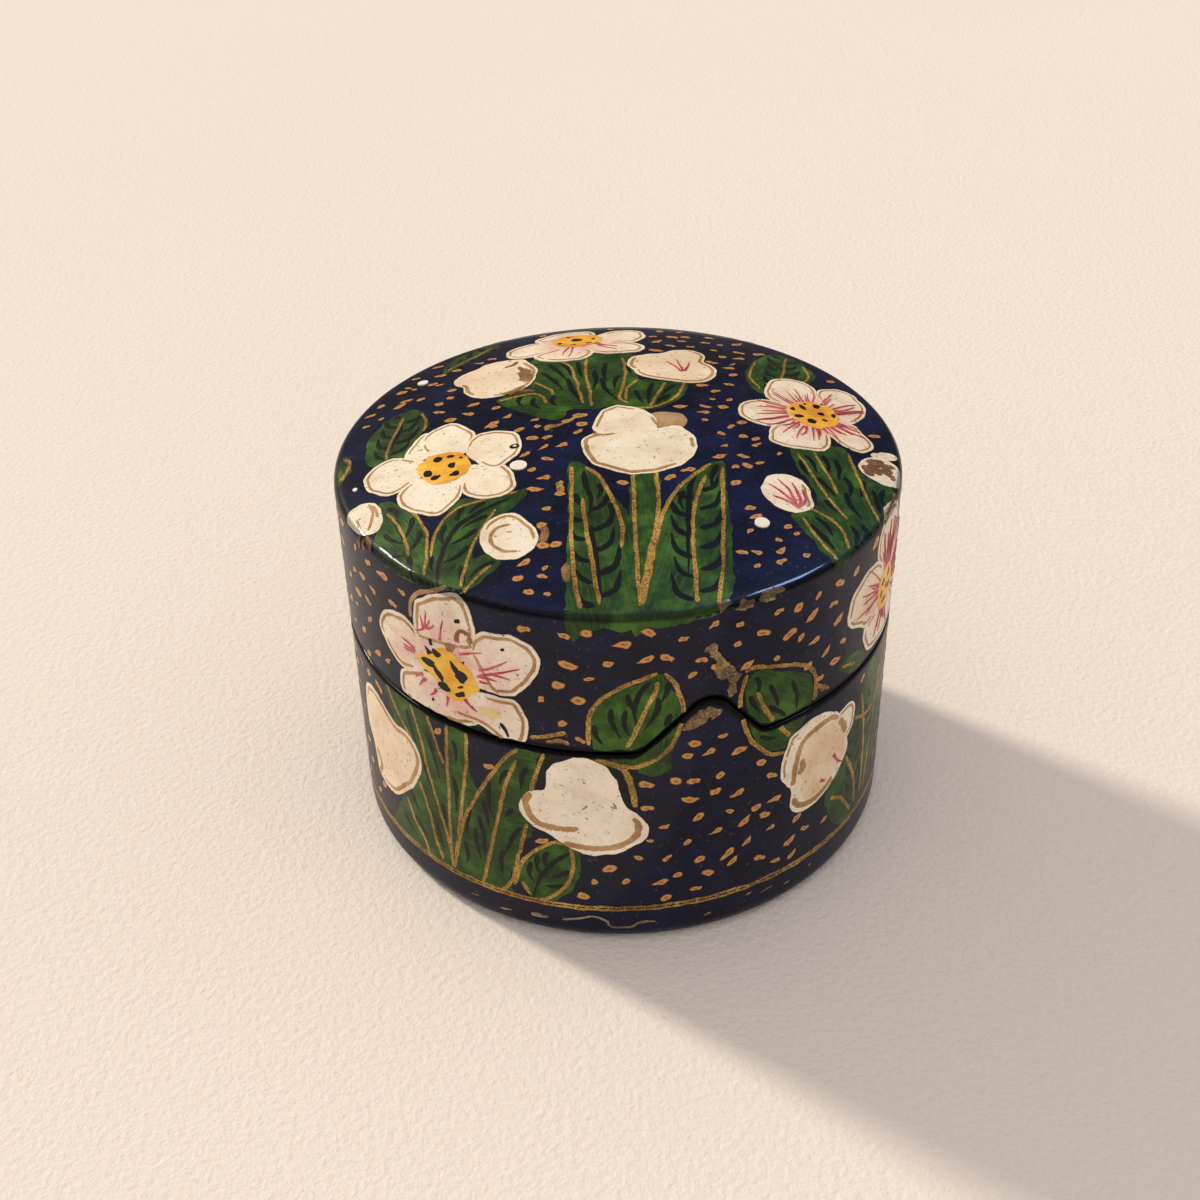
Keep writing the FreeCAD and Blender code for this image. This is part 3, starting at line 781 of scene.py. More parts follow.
def paintCrownFlowers():
    middle = (-23.8, -8.8)
    flower("top", middle, [
        [(-27, 1.6), (-28.5, -0.3), (-29.5, -2.8), (-29.6, -4.8), (-26.8, -6), (-25.6, -2)],
        [(-30.3, -4.3), (-33.3, -5.1), (-35.4, -8.8), (-32.9, -12.7), (-30.3, -13), (-26.4, -9.8), (-26.6, -6.6)],
        [(-27.2, -10.8), (-29.5, -12.2), (-30, -14.3), (-29, -16.8), (-24.8, -19.5), (-22.9, -18.9), (-20.6, -15),
         (-21.1, -12.3), (-22.9, -10.6)],
        [(-27.3, 0.4), (-24.6, 3.1), (-22.4, 2.5), (-19.9, -1), (-21.2, -6), (-24.4, -7), (-26.8, -4.4),
         (-27.5, -2.1)],
        [(-21.4, -9.6), (-20.9, -14.7), (-19.8, -16.5), (-17.7, -17.2), (-15, -16.8), (-13.5, -15.1), (-14.8, -10.1),
         (-17.7, -9.3)],
        [(-20.1, -1.6), (-15.9, -0.9), (-14, -2.1), (-13, -6.4), (-15.9, -10.2), (-18.1, -10),
         (-21, -5.6)]], finish="petalCream", firstTan=((0.0, 0.4),), depth=0.55, width=0.36)
    heart("top", [(-27.4, -9), (-26.9, -6.4), (-24.6, -5.3), (-21.8, -5.6), (-20.2, -8.2), (-20.6, -10.8),
                  (-22.8, -12.3), (-25.6, -12)],
          [(-24.8, -6.7, 1.5, 1.3, 20), (-22.9, -6.3, 1.1, 0.8, 0), (-21.5, -7.0, 0.7, 0.5, 0),
           (-22.6, -8.5, 1.2, 1.7, -10), (-25.9, -9.9, 1.3, 1.7, 10), (-24.6, -11.0, 1.3, 1.3, 0),
           (-22.2, -10.8, 1.3, 1.2, 30)])
    spot("top", "seedBlack", -14.2, -5.6, 1.2, 1.1, lifts["seed"], 20)
    spot("top", "petalCream", -14.1, -5.5, 0.5, 0.4, lifts["seed"] + 0.014)

    middle = (28.2, 5.2)
    edges = flower("top", middle, [
        [(30.2, 9), (29.4, 13.4), (33, 15.7), (35.3, 14.6), (36.8, 9.4), (34, 4.3), (31.6, 5)],
        [(31.2, 4.8), (34, 4.2), (36.2, -1), (35.5, -3.1), (33.5, -3.7), (29.6, 0), (29.6, 2.6)],
        [(28.2, 2), (24.5, 2.8), (22.4, 1.2), (21.1, -3.9), (26.5, -5.1), (29.5, -4.2), (30, 1.4)],
        [(26, 6.8), (22, 8.3), (19.5, 7.9), (17.7, 5.8), (17.4, 3.5), (18.9, 1.1), (21.5, 0.1), (24.2, 1.6),
         (25.8, 4)],
        [(23, 7.8), (21.6, 10.2), (22.4, 14.6), (24.4, 16.6), (26.5, 17), (28.5, 16.2), (29.5, 14.4), (29.4, 12.2),
         (30, 9.6), (28.2, 7.6), (25.2, 7)]], depth=0.55, width=0.34)
    rays("top", middle, edges, 8, 5)
    heart("top", [(24.7, 6.4), (26, 8.3), (28.5, 9.3), (30.8, 8.3), (32, 5.5), (31, 2.6), (28.2, 1.1), (25.6, 2.8),
                  (24.6, 5)],
          [(29.1, 7.9, 1.3, 1.2, 0), (26.9, 6.9, 1.0, 1.6, 30), (25.4, 6.2, 0.8, 1.0, 0), (29.5, 5.7, 0.9, 1.1, 0),
           (31.3, 5.7, 0.9, 1.2, 0), (26.0, 4.1, 1.5, 0.9, 20), (28.0, 3.0, 1.5, 1.3, 0), (29.8, 3.8, 0.8, 0.7, 0),
           (27.3, 8.2, 0.6, 0.5, 0)])

    middle = (-6.0, 31.0)
    edges = flower("top", middle, [
        [(-12.8, 33), (-10.2, 35.6), (-6.8, 36.8), (-3.6, 36.2), (-4, 32.6), (-12, 31.4)],
        [(-3.6, 30.6), (-2.8, 34.2), (-0.5, 36.4), (2.6, 36.9), (4.6, 35.3), (4.6, 32.1), (2.7, 29.8), (-0.5, 29.4)],
        [(-16.9, 26.8), (-15.9, 29.6), (-13.2, 31.1), (-10, 31.2), (-7.6, 29.4), (-9.8, 25.8), (-14.2, 24.1),
         (-16.4, 25)],
        [(-4.8, 28.6), (1.6, 29.7), (4.2, 28.1), (4.4, 26), (2.1, 24.5), (-1.1, 24), (-3.8, 25)],
        [(-12, 23), (-12.2, 24.8), (-7, 28.6), (-4.2, 27.2), (-3.4, 24.4), (-5.2, 21.6),
         (-10.5, 21.6)]], depth=0.7, width=0.42)
    rays("top", middle, edges[3:], 2, 6)
    heart("top", [(-9.6, 30.6), (-8.4, 33.2), (-5.8, 34.2), (-3.2, 33.6), (-2.2, 31), (-3.7, 29), (-6.6, 27.9),
                  (-8.9, 28.9)],
          [(-6.0, 31.4, 1.7, 1.3, 0), (-8.7, 29.8, 0.9, 1.0, 0), (-4.2, 29.4, 0.9, 0.7, 0), (-7.4, 33.0, 0.8, 0.6, 0),
           (-3.4, 31.6, 0.7, 0.9, 0), (-6.6, 28.8, 1.0, 0.6, 0)])


def paintCrownBuds():
    # Middle bud, with a darker one behind it
    petal("top", [(4.6, 1.8), (6, 2.5), (8.3, 2.7), (9.7, 1.6), (10, -0.6), (9, -2), (6, -2)], 0, finish="tanBud",
          tan=((0.0, 0.5),))
    petal("top", [(5.6, -2.2), (8.3, -1.1), (9.9, -2.6), (10.9, -4.7), (10.9, -7.2), (9.9, -9.8), (8.0, -11.8),
                  (5.4, -13.0), (2.6, -13.5), (-0.2, -13.0), (-2.8, -11.2), (-4.6, -8.4), (-4.9, -5.2), (-2.8, -3.2),
                  (2.0, -2.0)], 1, tan=((0.02, 0.62), (0.72, 0.8)), width=0.6)
    petal("top", [(-3.1, -0.4), (-1.9, 3.1), (0.3, 4.5), (3.3, 3.4), (5.5, 0.8), (5.4, -3.4), (1.4, -5.4),
                  (-3.1, -3)], 2, tan=((0.62, 1.02),), width=0.4)
    tanLines("top", 2, [(-3.4, -3.4), (-1.8, -3.8), (-0.2, -3.6)], [(4.9, 0.9), (5.6, -0.8), (6.6, -1.6)], width=0.45)
    # Back left
    petal("top", [(-24.3, 17.4), (-23.4, 19.8), (-20.8, 21.9), (-18.9, 23.8), (-13.9, 23.8), (-13.2, 21.8),
                  (-11.7, 18.4), (-12.9, 12.5), (-17.9, 9.9), (-20.5, 10.4), (-22.5, 12.6), (-22.4, 14.8),
                  (-23.8, 15.8)], 0, finish="petalBlush", tan=((0.02, 0.16), (0.24, 0.62)), width=0.6)
    petal("top", [(-21.6, 17), (-20.4, 20.4), (-17, 21.6), (-15, 20), (-14.4, 16.4), (-15.4, 12.8), (-18.4, 11.4),
                  (-21, 13.2)], 1, finish="petalBlush", tan=())
    area("top", "rubbedBrown",
         handEdge([(-14.8, 20.4), (-13.4, 19.4), (-12.5, 17.6), (-12.5, 15.2), (-14, 14.2), (-14.6, 17)], 0.7, 0.8),
         lifts["chip"])
    for line in ([(-17.0, 10.8), (-14.6, 11.2), (-11.8, 10.4)], [(-15.6, 10.2), (-14.2, 11.6), (-13.6, 12.6)],
                 [(-15.0, 22.8), (-15.4, 21.4), (-16.6, 20.6)]):
        ribbon("top", "rubbedBrown", line, 0.6, lifts["chip"], wander=0.5)
    # Back right
    petal("top", [(1.5, 20.5), (2.6, 22.7), (4.7, 23.8), (6.8, 23.9), (8, 25.4), (10.3, 26.1), (12.6, 25.4),
                  (13.7, 23.2), (13.3, 21), (14.8, 18.9), (15, 16.3), (13.7, 13.5), (10.5, 12.4), (4.4, 14.1),
                  (2.5, 16.8)], 0, finish="petalBlush", tan=((0.0, 0.66), (0.86, 1.0)), width=0.5)
    crimsonLines("top", [(9.6, 16.6), (8.8, 18.6), (7.6, 20.4)], [(9.9, 16.8), (9.6, 19), (9.2, 21.4)],
                 [(10.2, 16.8), (10.8, 18.6), (11, 20.2)], width=0.3)
    # Small buds of the left and right sprays
    petal("top", [(-36.9, -15.8), (-35.7, -14.4), (-33.7, -14.1), (-32.1, -15.8), (-31.6, -20), (-32.8, -21.2),
                  (-34.6, -20.7), (-36.7, -17.4)], 0, tan=((0.5, 0.75),))
    tanLines("top", 1, [(-33.9, -14.6), (-33.0, -16.8), (-33.4, -20.2)], [(-35.2, -17.6), (-34.6, -19.6)], width=0.4)
    for x, y, turn in ((-34.4, -22.0, 60), (-33.2, -22.6, 95), (-35.2, -21.0, 30)):
        spot("top", "rubbedBrown", x, y, 2.4, 1.0, lifts["chip"], turn, 0.5)
    petal("top", [(-18.1, -23.8), (-17, -21.8), (-14.9, -20.7), (-12.8, -21.3), (-10.2, -25.4), (-12, -29.1),
                  (-16.2, -29.2), (-18.1, -25.6)], 0, tan=((0.45, 0.95),))
    tanLines("top", 1, [(-14.2, -23), (-16, -23.6), (-16.6, -25.2), (-16.2, -26.8), (-14.8, -28), (-13, -28.2)],
             width=0.5)
    ribbon("top", "rubbedBrown", [(-10.2, -23.0), (-9.5, -24.6), (-9.8, -26.8)], 1.1, lifts["gilt"], wander=0.4)
    petal("top", [(19.2, -14.6), (20.5, -12.5), (23, -11.9), (25.3, -13.4), (26.1, -18.1), (24.6, -19.9),
                  (22.5, -20.1), (20.2, -18.6), (19.3, -16.6)], 0, tan=((0.35, 0.62),), width=0.4)
    crimsonLines("top", [(23.9, -18.9), (22.2, -16.4), (20.2, -14.6)], [(23.6, -18.6), (23.0, -15.6), (21.6, -13.2)],
                 [(24.2, -18.8), (24.2, -16.4), (23.4, -13.6)], [(24.6, -18.4), (25.0, -16.8), (24.8, -15.0)],
                 [(24.0, -19.2), (22.4, -17.8), (20.6, -17.0)], width=0.45)
    for x, y, wide, tall in ((38.0, -3.6, 3.6, 2.4), (36.6, -3.9, 2.2, 1.8)):
        petal("top", ring(x, y, wide, tall, 15), 0, tan=())
    petal("top", [(33.4, -7.2), (34.5, -5.1), (36.6, -4.3), (38.6, -5.1), (39.4, -7.2), (38.4, -11.5), (34.2, -9.6)],
          1, tan=())
    hand = random.Random(9)
    for index in range(16):
        turn, reach = hand.uniform(0, 6.28), 2.2 * math.sqrt(hand.random())
        spot("top", "rubbedBrown", 36.4 + reach * math.cos(turn), -7.7 + reach * 1.15 * math.sin(turn),
             hand.uniform(1.2, 2.2), hand.uniform(0.9, 1.5), lifts["chip"] + 0.001 * index, hand.uniform(0, 180), 0.5)
    for x, y, size in ((-13.4, -10.3, 2.3), (18.8, -22.9, 2.0), (-29.3, 19.3, 1.6), (-36.2, -10.4, 0.7)):
        spot("top", "dotWhite", x, y, size, size, lifts["seed"], lumpy=0.06)
    area("top", "rubbedBrown", handEdge([(-6.2, -30.8), (-5.4, -32.6), (-5.6, -34.6), (-7, -34), (-7.2, -31.8)], 0.3),
         lifts["leaf"])
    leaf("top", [(-39.2, -1), (-37.8, -2.4), (-37.6, -5.2), (-38.6, -8.4), (-39.8, -6)],
         gilt=[[(-38.8, -1.6), (-37.8, -3.2), (-38.6, -7.4)]])
    # A loose gilt stroke above the middle bud
    ribbon("top", "giltPaint", [(-9.6, -0.8), (-7.6, -0.2), (-5, 2.2)], 0.6, lifts["gilt"], wander=0.4)
    for place in ((-9.4, -0.9, 1.5, 1.0, 30), (-5.2, 1.8, 1.5, 1.2, 40), (-7.5, -15.6, 1.7, 2.4, 10)):
        spot("top", "giltPaint", *place[:4], lifts["gilt"], place[4], 0.6)


# The painting round the wall

def paintWallFlower():
    middle = (-24.0, 43.4)
    flower("wall", middle, [
        [(-33.6, 37.8), (-33.2, 39.3), (-28, 41.6), (-20, 40.4), (-19.2, 36.8), (-22.4, 34.8), (-32.4, 34.8)],
        [(-23.4, 38), (-22.6, 41), (-14.6, 42.1), (-13.2, 41.2), (-12.1, 37.6), (-13, 35.2), (-14.7, 34),
         (-16.9, 34.6), (-18.3, 36.2), (-23.3, 36.4)],
        [(-37.7, 44.8), (-35.6, 47.9), (-30.6, 48.8), (-27.4, 45.2), (-27.6, 42.2), (-31.9, 40), (-34.3, 40.4),
         (-36.5, 42.3)],
        [(-19.4, 50.8), (-17.2, 52.1), (-12.2, 51.9), (-10, 48.6), (-12.5, 44.3), (-14.7, 42.5), (-20, 42.8),
         (-21.2, 45.4), (-20.2, 48)],
        [(-29.4, 48.6), (-28.2, 53.2), (-21.4, 56.4), (-19, 52.3), (-20.6, 46.6), (-24, 45.4),
         (-28.9, 46.4)]], depth=0.72, width=0.52)
    ribbon("wall", "outlineTan", [(-29.8, 49.6), (-29.4, 51.7), (-27.9, 54), (-23.4, 56.9)], 0.6, lifts["gilt"],
           wander=0.4)
    crimsonLines("wall", [(-27.2, 49.0), (-27.0, 50.2), (-26.7, 51.9)], [(-27.0, 49.0), (-26.4, 50.2), (-26.1, 51.0)],
                 [(-27.6, 48.8), (-27.7, 50.0), (-27.9, 50.8)], [(-26.6, 49.2), (-25.8, 49.8), (-25.5, 50.4)],
                 [(-27.4, 48.9), (-28.4, 48.2), (-29.2, 47.9)], [(-29.7, 44.6), (-30.8, 44.9), (-32.2, 45.2)],
                 [(-29.6, 44.3), (-30.8, 44.2), (-32.0, 44.2)], [(-29.8, 43.9), (-31.0, 43.7), (-31.8, 43.8)],
                 [(-21.6, 47.1), (-20.0, 47.7), (-18.2, 48.5)], [(-19.2, 44.4), (-16.7, 45.5), (-13.0, 47.3)],
                 [(-17.2, 45.4), (-15.8, 45.3), (-14.2, 45.2)], [(-19.2, 44.4), (-17.8, 44.5), (-16.2, 44.4)],
                 [(-18.9, 43.7), (-18.2, 43.7), (-17.4, 43.7)], [(-21.8, 48.9), (-21.6, 50.0), (-21.2, 50.8)],
                 [(-24.8, 48.2), (-24.4, 49.8), (-24.0, 51.6)], [(-18.8, 45.4), (-16.4, 46.8), (-14.6, 48.2)],
                 width=0.42)
    crimsonLines("wall", [(-28.4, 40.9), (-29.2, 40.4), (-30.0, 39.6)], [(-28.0, 40.2), (-28.8, 39.5), (-29.4, 38.6)],
                 [(-26.2, 39.4), (-26.6, 38.6), (-27.4, 37.8)], [(-24.2, 39.0), (-24.4, 38.2), (-24.6, 37.2)],
                 [(-21.4, 39.8), (-20.6, 39.0), (-19.6, 38.4)], width=0.5)
    heart("wall", [(-29, 43.4), (-27.8, 44.6), (-26.1, 45.2), (-25.6, 46.6), (-23.6, 47.1), (-21.8, 46.4),
                   (-19.3, 43.4), (-19.5, 41.6), (-22.8, 39.4), (-26.4, 41.3), (-28.1, 42.2)],
          [(-26.8, 43.6, 2.7, 1.2, 8), (-25.5, 42.5, 1.0, 2.7, 35), (-24.6, 40.7, 2.0, 1.5, 0),
           (-22.6, 44.3, 1.0, 2.2, 35), (-21.7, 43.2, 2.0, 1.7, 20), (-21.9, 40.4, 1.7, 1.0, 25),
           (-25.4, 45.8, 1.5, 1.1, 0), (-22.0, 41.6, 1.2, 0.4, 30)])
    for place in ((-26.4, 47.2, 0.8, 0.8, 0), (-21.6, 52.4, 0.9, 0.6, 30), (-15.2, 49.9, 0.5, 0.4, 0),
                  (-27.0, 37.4, 0.5, 0.5, 0)):
        spot("wall", "seedBlack", *place[:4], lifts["seed"], place[4], 0.4)
    spot("wall", "rubbedBrown", -23.2, 47.6, 1.5, 1.1, lifts["seed"], 30, 0.5)
    ribbon("wall", "rubbedBrown", [(-22.2, 49), (-21.2, 50.9), (-19.8, 51), (-19.3, 49.8)], 0.5, lifts["seed"],
           wander=0.5)
    ribbon("wall", "seedBlack", [(-16.2, 37.7), (-15.5, 36.6), (-15.0, 35.4)], 0.5, lifts["seed"], "tick")
    area("wall", "washYellow", handEdge(ring(-17.6, 38.6, 3.6, 2.0, 10), 0.6, 0.9),
         lifts["petal"] + 1.5 * lifts["petalStep"])

    middle = (46.0, 44.4)
    edges = flower("wall", middle, [
        [(42.4, 50.4), (41.6, 53.4), (43.4, 56.2), (46.6, 57.2), (50, 55.8), (51.2, 52), (49.4, 47.6), (45.6, 46.6)],
        [(48, 45.6), (51, 49), (55, 50.2), (58.4, 48), (58.6, 43.6), (55.2, 41.4), (50.4, 42)],
        [(39.1, 41.4), (39.2, 38.8), (40.6, 36.9), (43.4, 36.1), (47.2, 35.9), (51, 36.6), (52, 39), (49.6, 42.2),
         (45.6, 43.4), (41.6, 42.2)],
        [(34.2, 46.8), (34.8, 48.7), (36.9, 50.4), (39.8, 51.2), (42.4, 50.8), (44.6, 48.6), (44.8, 45.4), (43, 42.6),
         (39.8, 41.5), (34.6, 44.4)]], depth=0.7, width=0.45)
    rays("wall", middle, edges, 7, 15, 3.4)
    heart("wall", [(42.8, 45.6), (44.4, 47.6), (47, 47.6), (48.8, 45.6), (48.6, 42.6), (46.4, 40.8), (43.8, 41.8)],
          [(44.6, 45.8, 1.3, 1.0, 0), (46.8, 46.2, 1.0, 1.2, 0), (47.4, 43.8, 1.3, 1.1, 0), (45.4, 42.4, 1.4, 1.0, 0),
           (44.2, 44.0, 0.8, 1.0, 0), (46.0, 44.4, 1.0, 0.8, 0)])


def paintWallLeaves():
    leaf("wall", [(4.6, 47.4), (5.8, 46.8), (7.7, 41), (6.6, 34), (6.4, 31.4), (3.8, 30.8), (-1.4, 33), (-3.9, 36.4),
                  (-3, 42.7), (2.2, 46.2)],
         gilt=[[(5.6, 47.5), (7, 45.4), (8, 40.4), (6, 34.8), (2.2, 32.5), (-0.6, 32.8)],
               [(4.6, 47.6), (-0.4, 45.4), (-3.8, 41.8), (-4.3, 36.2)], [(4.6, 46.2), (4.1, 44.2), (0.8, 35.8)]],
         strokes=[[(3.8, 46.4), (2.3, 44.5), (1.7, 41.9), (1.9, 39.4)], [(0.8, 44.6), (1.1, 43), (2.2, 41.3)],
                  [(6.0, 46), (5.8, 44.4), (5.0, 42.8)], [(4.6, 43.8), (4.7, 41.9), (3, 38.6)],
                  [(-1.3, 42.4), (-1.4, 40.3), (-0.2, 37.4)], [(-3.5, 39.6), (-3.3, 37.8), (-2.4, 36.2)],
                  [(6.4, 41.0), (5.6, 38.6), (4.4, 37.0)], [(0.6, 42.0), (0.4, 39.4), (1.0, 37.6)]], giltWidth=0.64)
    leaf("wall", [(17.2, 44.4), (19.8, 44.4), (25.6, 41.4), (27.6, 38.8), (27.4, 35.6), (24, 29.8), (18.8, 32.2),
                  (16.7, 40)],
         gilt=[[(16.3, 45.4), (18.2, 45.5), (25, 43), (27.9, 40.1), (28.1, 35.6)],
               [(16.6, 44.8), (15.9, 40.1), (17.4, 34), (20.4, 30.2), (23.2, 28.9)],
               [(18.3, 41.3), (20.3, 36.6), (23.9, 31.6)]],
         strokes=[[(18.0, 44.0), (18.6, 42.4), (18.3, 40.4)], [(20.2, 42.0), (20.9, 40.1), (21.8, 37.6)],
                  [(23.8, 40.9), (24.7, 38.4), (24.9, 35.6)], [(17.3, 41.2), (17.8, 39.5), (18.9, 37.8)],
                  [(20.0, 38.4), (22.0, 36.6), (23.8, 34.7)], [(18.0, 36.4), (19.2, 35.2), (20.4, 34.6)],
                  [(19.0, 33.6), (20.4, 32.6), (21.8, 32.4)]], giltWidth=0.64)
    for line in ([(28.6, 38.2), (29.4, 37.2), (31.0, 36.0)], [(28.4, 37.4), (28.0, 36.2), (27.6, 35.0)],
                 [(29.2, 36.6), (30.2, 36.4)], [(-12.0, 36.3), (-10.0, 36.9), (-7.4, 38.0)],
                 [(-9.8, 36.0), (-8.0, 36.6), (-6.8, 36.2)]):
        ribbon("wall", "giltPaint", line, 0.65, lifts["gilt"], wander=0.4)
    leaf("wall", [(33, 38.4), (35.4, 39), (38.6, 38), (39.6, 35.6), (36, 35.6)], gilt=[[(33.6, 38.0), (37.0, 37.0)]])
    # The fan at the left of the base, and what can be seen between its stems
    leaf("wall", [(-38.2, 33.8), (-28.9, 33.8), (-28.3, 30.4), (-25.9, 26.8), (-25.4, 33.8), (-21.9, 33.8),
                  (-21.8, 29.6), (-21.2, 25.2), (-20, 25), (-14.4, 33.8), (-10.2, 33.8), (-11.4, 29.6), (-12.6, 19.4),
                  (-14, 17), (-16.4, 9), (-17.8, 6.3), (-38.8, 6.3), (-38.6, 10.2), (-36, 15.4), (-35.2, 20.4),
                  (-36.6, 28.2)],
         gilt=[[(-37.6, 34.0), (-35.7, 30.8), (-32.6, 27.3)],
               [(-32.1, 34), (-30.6, 28.8), (-29.7, 24.1), (-26.9, 12.9), (-26.2, 7)],
               [(-28.8, 33.8), (-27.6, 30.0), (-26.2, 26.4)], [(-25.1, 34), (-26.2, 14.4), (-26.3, 8.4)],
               [(-21.8, 34), (-22.4, 27), (-25.9, 7)], [(-13.8, 34), (-17.5, 29.2), (-22.9, 18.7), (-25.6, 8.6)],
               [(-14.3, 31.7), (-16.4, 25.6), (-20.9, 6.6)], [(-10.4, 33.8), (-12.1, 28.1), (-12.4, 25.0)],
               [(-31.8, 20), (-30.1, 15.1), (-29.3, 10.7), (-28.2, 7.2)], [(-13.3, 20.6), (-16.1, 9.3), (-18, 6.4)],
               [(-35.4, 14.8), (-34, 11.6), (-32, 9.2), (-31.2, 6.6)]],
         strokes=[[(-24.2, 31.6), (-23.8, 29.6), (-24.0, 27.6)], [(-29.2, 30.6), (-28.0, 26.6), (-27.3, 23.0)],
                  [(-30.2, 24.4), (-29.6, 21.8), (-28.8, 19.6)], [(-24.6, 25.0), (-24.4, 22.0), (-24.7, 18.4)],
                  [(-22.0, 21.4), (-22.6, 18.0), (-23.0, 15.0)], [(-21.6, 16.8), (-21.4, 14.0), (-21.0, 11.2)],
                  [(-18.6, 26.8), (-18.9, 23.6), (-18.6, 20.4)], [(-15.4, 29.6), (-16.6, 28.0), (-17.0, 26.6)],
                  [(-15.2, 22.8), (-16.0, 21.6), (-16.6, 20.8)], [(-14.2, 19.6), (-15.6, 17.4), (-16.8, 14.2)],
                  [(-23.6, 13.4), (-23.2, 11.2), (-23.6, 9.0)], [(-20.8, 19.6), (-20.2, 16.0), (-20.3, 12.4)],
                  [(-17.0, 14.6), (-17.6, 12.4), (-17.6, 9.6)], [(-34.2, 17.4), (-33.2, 14.8), (-31.8, 13.2)],
                  [(-33.6, 12.4), (-32.0, 10.8), (-31.0, 9.0)], [(-27.2, 18.6), (-27.0, 16.4), (-26.7, 14.6)],
                  [(-28.8, 14.0), (-28.4, 11.4), (-27.6, 9.0)], [(-36.8, 11.0), (-35.4, 9.6), (-33.6, 8.4)],
                  [(-33.0, 32.4), (-32.6, 30.0), (-31.6, 27.0)], [(-12.8, 30.8), (-13.6, 28.8), (-13.8, 26.8)],
                  [(-19.8, 22.6), (-19.4, 20.2), (-19.2, 17.8)]], giltWidth=0.56)
    leaf("wall", [(-6.6, 17.6), (-5.9, 14.4), (-6.8, 10.6), (-9, 7.6), (-12.2, 6.4), (-14.6, 8.6), (-14.9, 11.8),
                  (-10.2, 17.2)],
         gilt=[[(-7, 18), (-9.9, 18), (-13.9, 14), (-15.8, 8.4)],
               [(-7.2, 17.6), (-7, 14.4), (-7.8, 10.8), (-9.9, 7.9), (-12.3, 6.4)]],
         strokes=[[(-7.4, 16.6), (-10.3, 13.6), (-12.1, 10), (-13, 6.6)],
                  [(-10.4, 16.2), (-11.0, 14.6), (-10.8, 13.0)], [(-13.0, 13.8), (-13.4, 11.4), (-12.6, 9.8)],
                  [(-7.4, 13.2), (-8.6, 12.2), (-10.0, 11.6)], [(-8.4, 10.2), (-9.8, 9.6), (-11.2, 9.6)],
                  [(-12.0, 15.2), (-12.2, 13.0), (-11.6, 11.6)]], giltWidth=0.58)
    spot("wall", "giltPaint", -14.0, 8.6, 0.7, 2.8, lifts["gilt"], 25, 0.3)
    leaf("wall", [(-11.6, 33.8), (-8.2, 34), (1.6, 33.8), (1.8, 28.4), (0.6, 25), (-4, 27), (-10.6, 28.4)],
         gilt=[[(-3.6, 33.5), (-0.8, 32.8), (0.8, 30.8), (1.7, 25.4)]],
         strokes=[[(-1.4, 31.6), (-0.2, 30.2), (0.4, 28.0)]], giltWidth=0.9, finish="veinBlack")
    leaf("wall", [(32, 15.2), (33.2, 17.8), (36, 20.4), (40.4, 30.6), (44, 33.4), (49, 30), (50.2, 20), (47.6, 10.6),
                  (43, 7), (37, 7.2), (33.6, 10.6)],
         gilt=[[(36.8, 20.2), (39.6, 14.8), (40.8, 8.6)], [(40.2, 29.4), (42.4, 20.4), (42.8, 9.4)],
               [(47.4, 30.0), (45.8, 20.0), (44.0, 9.0)], [(33.4, 14.6), (36.2, 12.8), (39.4, 8.2)],
               [(38.6, 26.0), (43.4, 24.0), (48.6, 26.0)]],
         veins=[((40.2, 9.0), (38.4, 24.0), 1.6, 1.7, 2.8), ((43.4, 9.6), (45.0, 29.0), 1.7, 1.7, 2.8)],
         giltWidth=0.6)


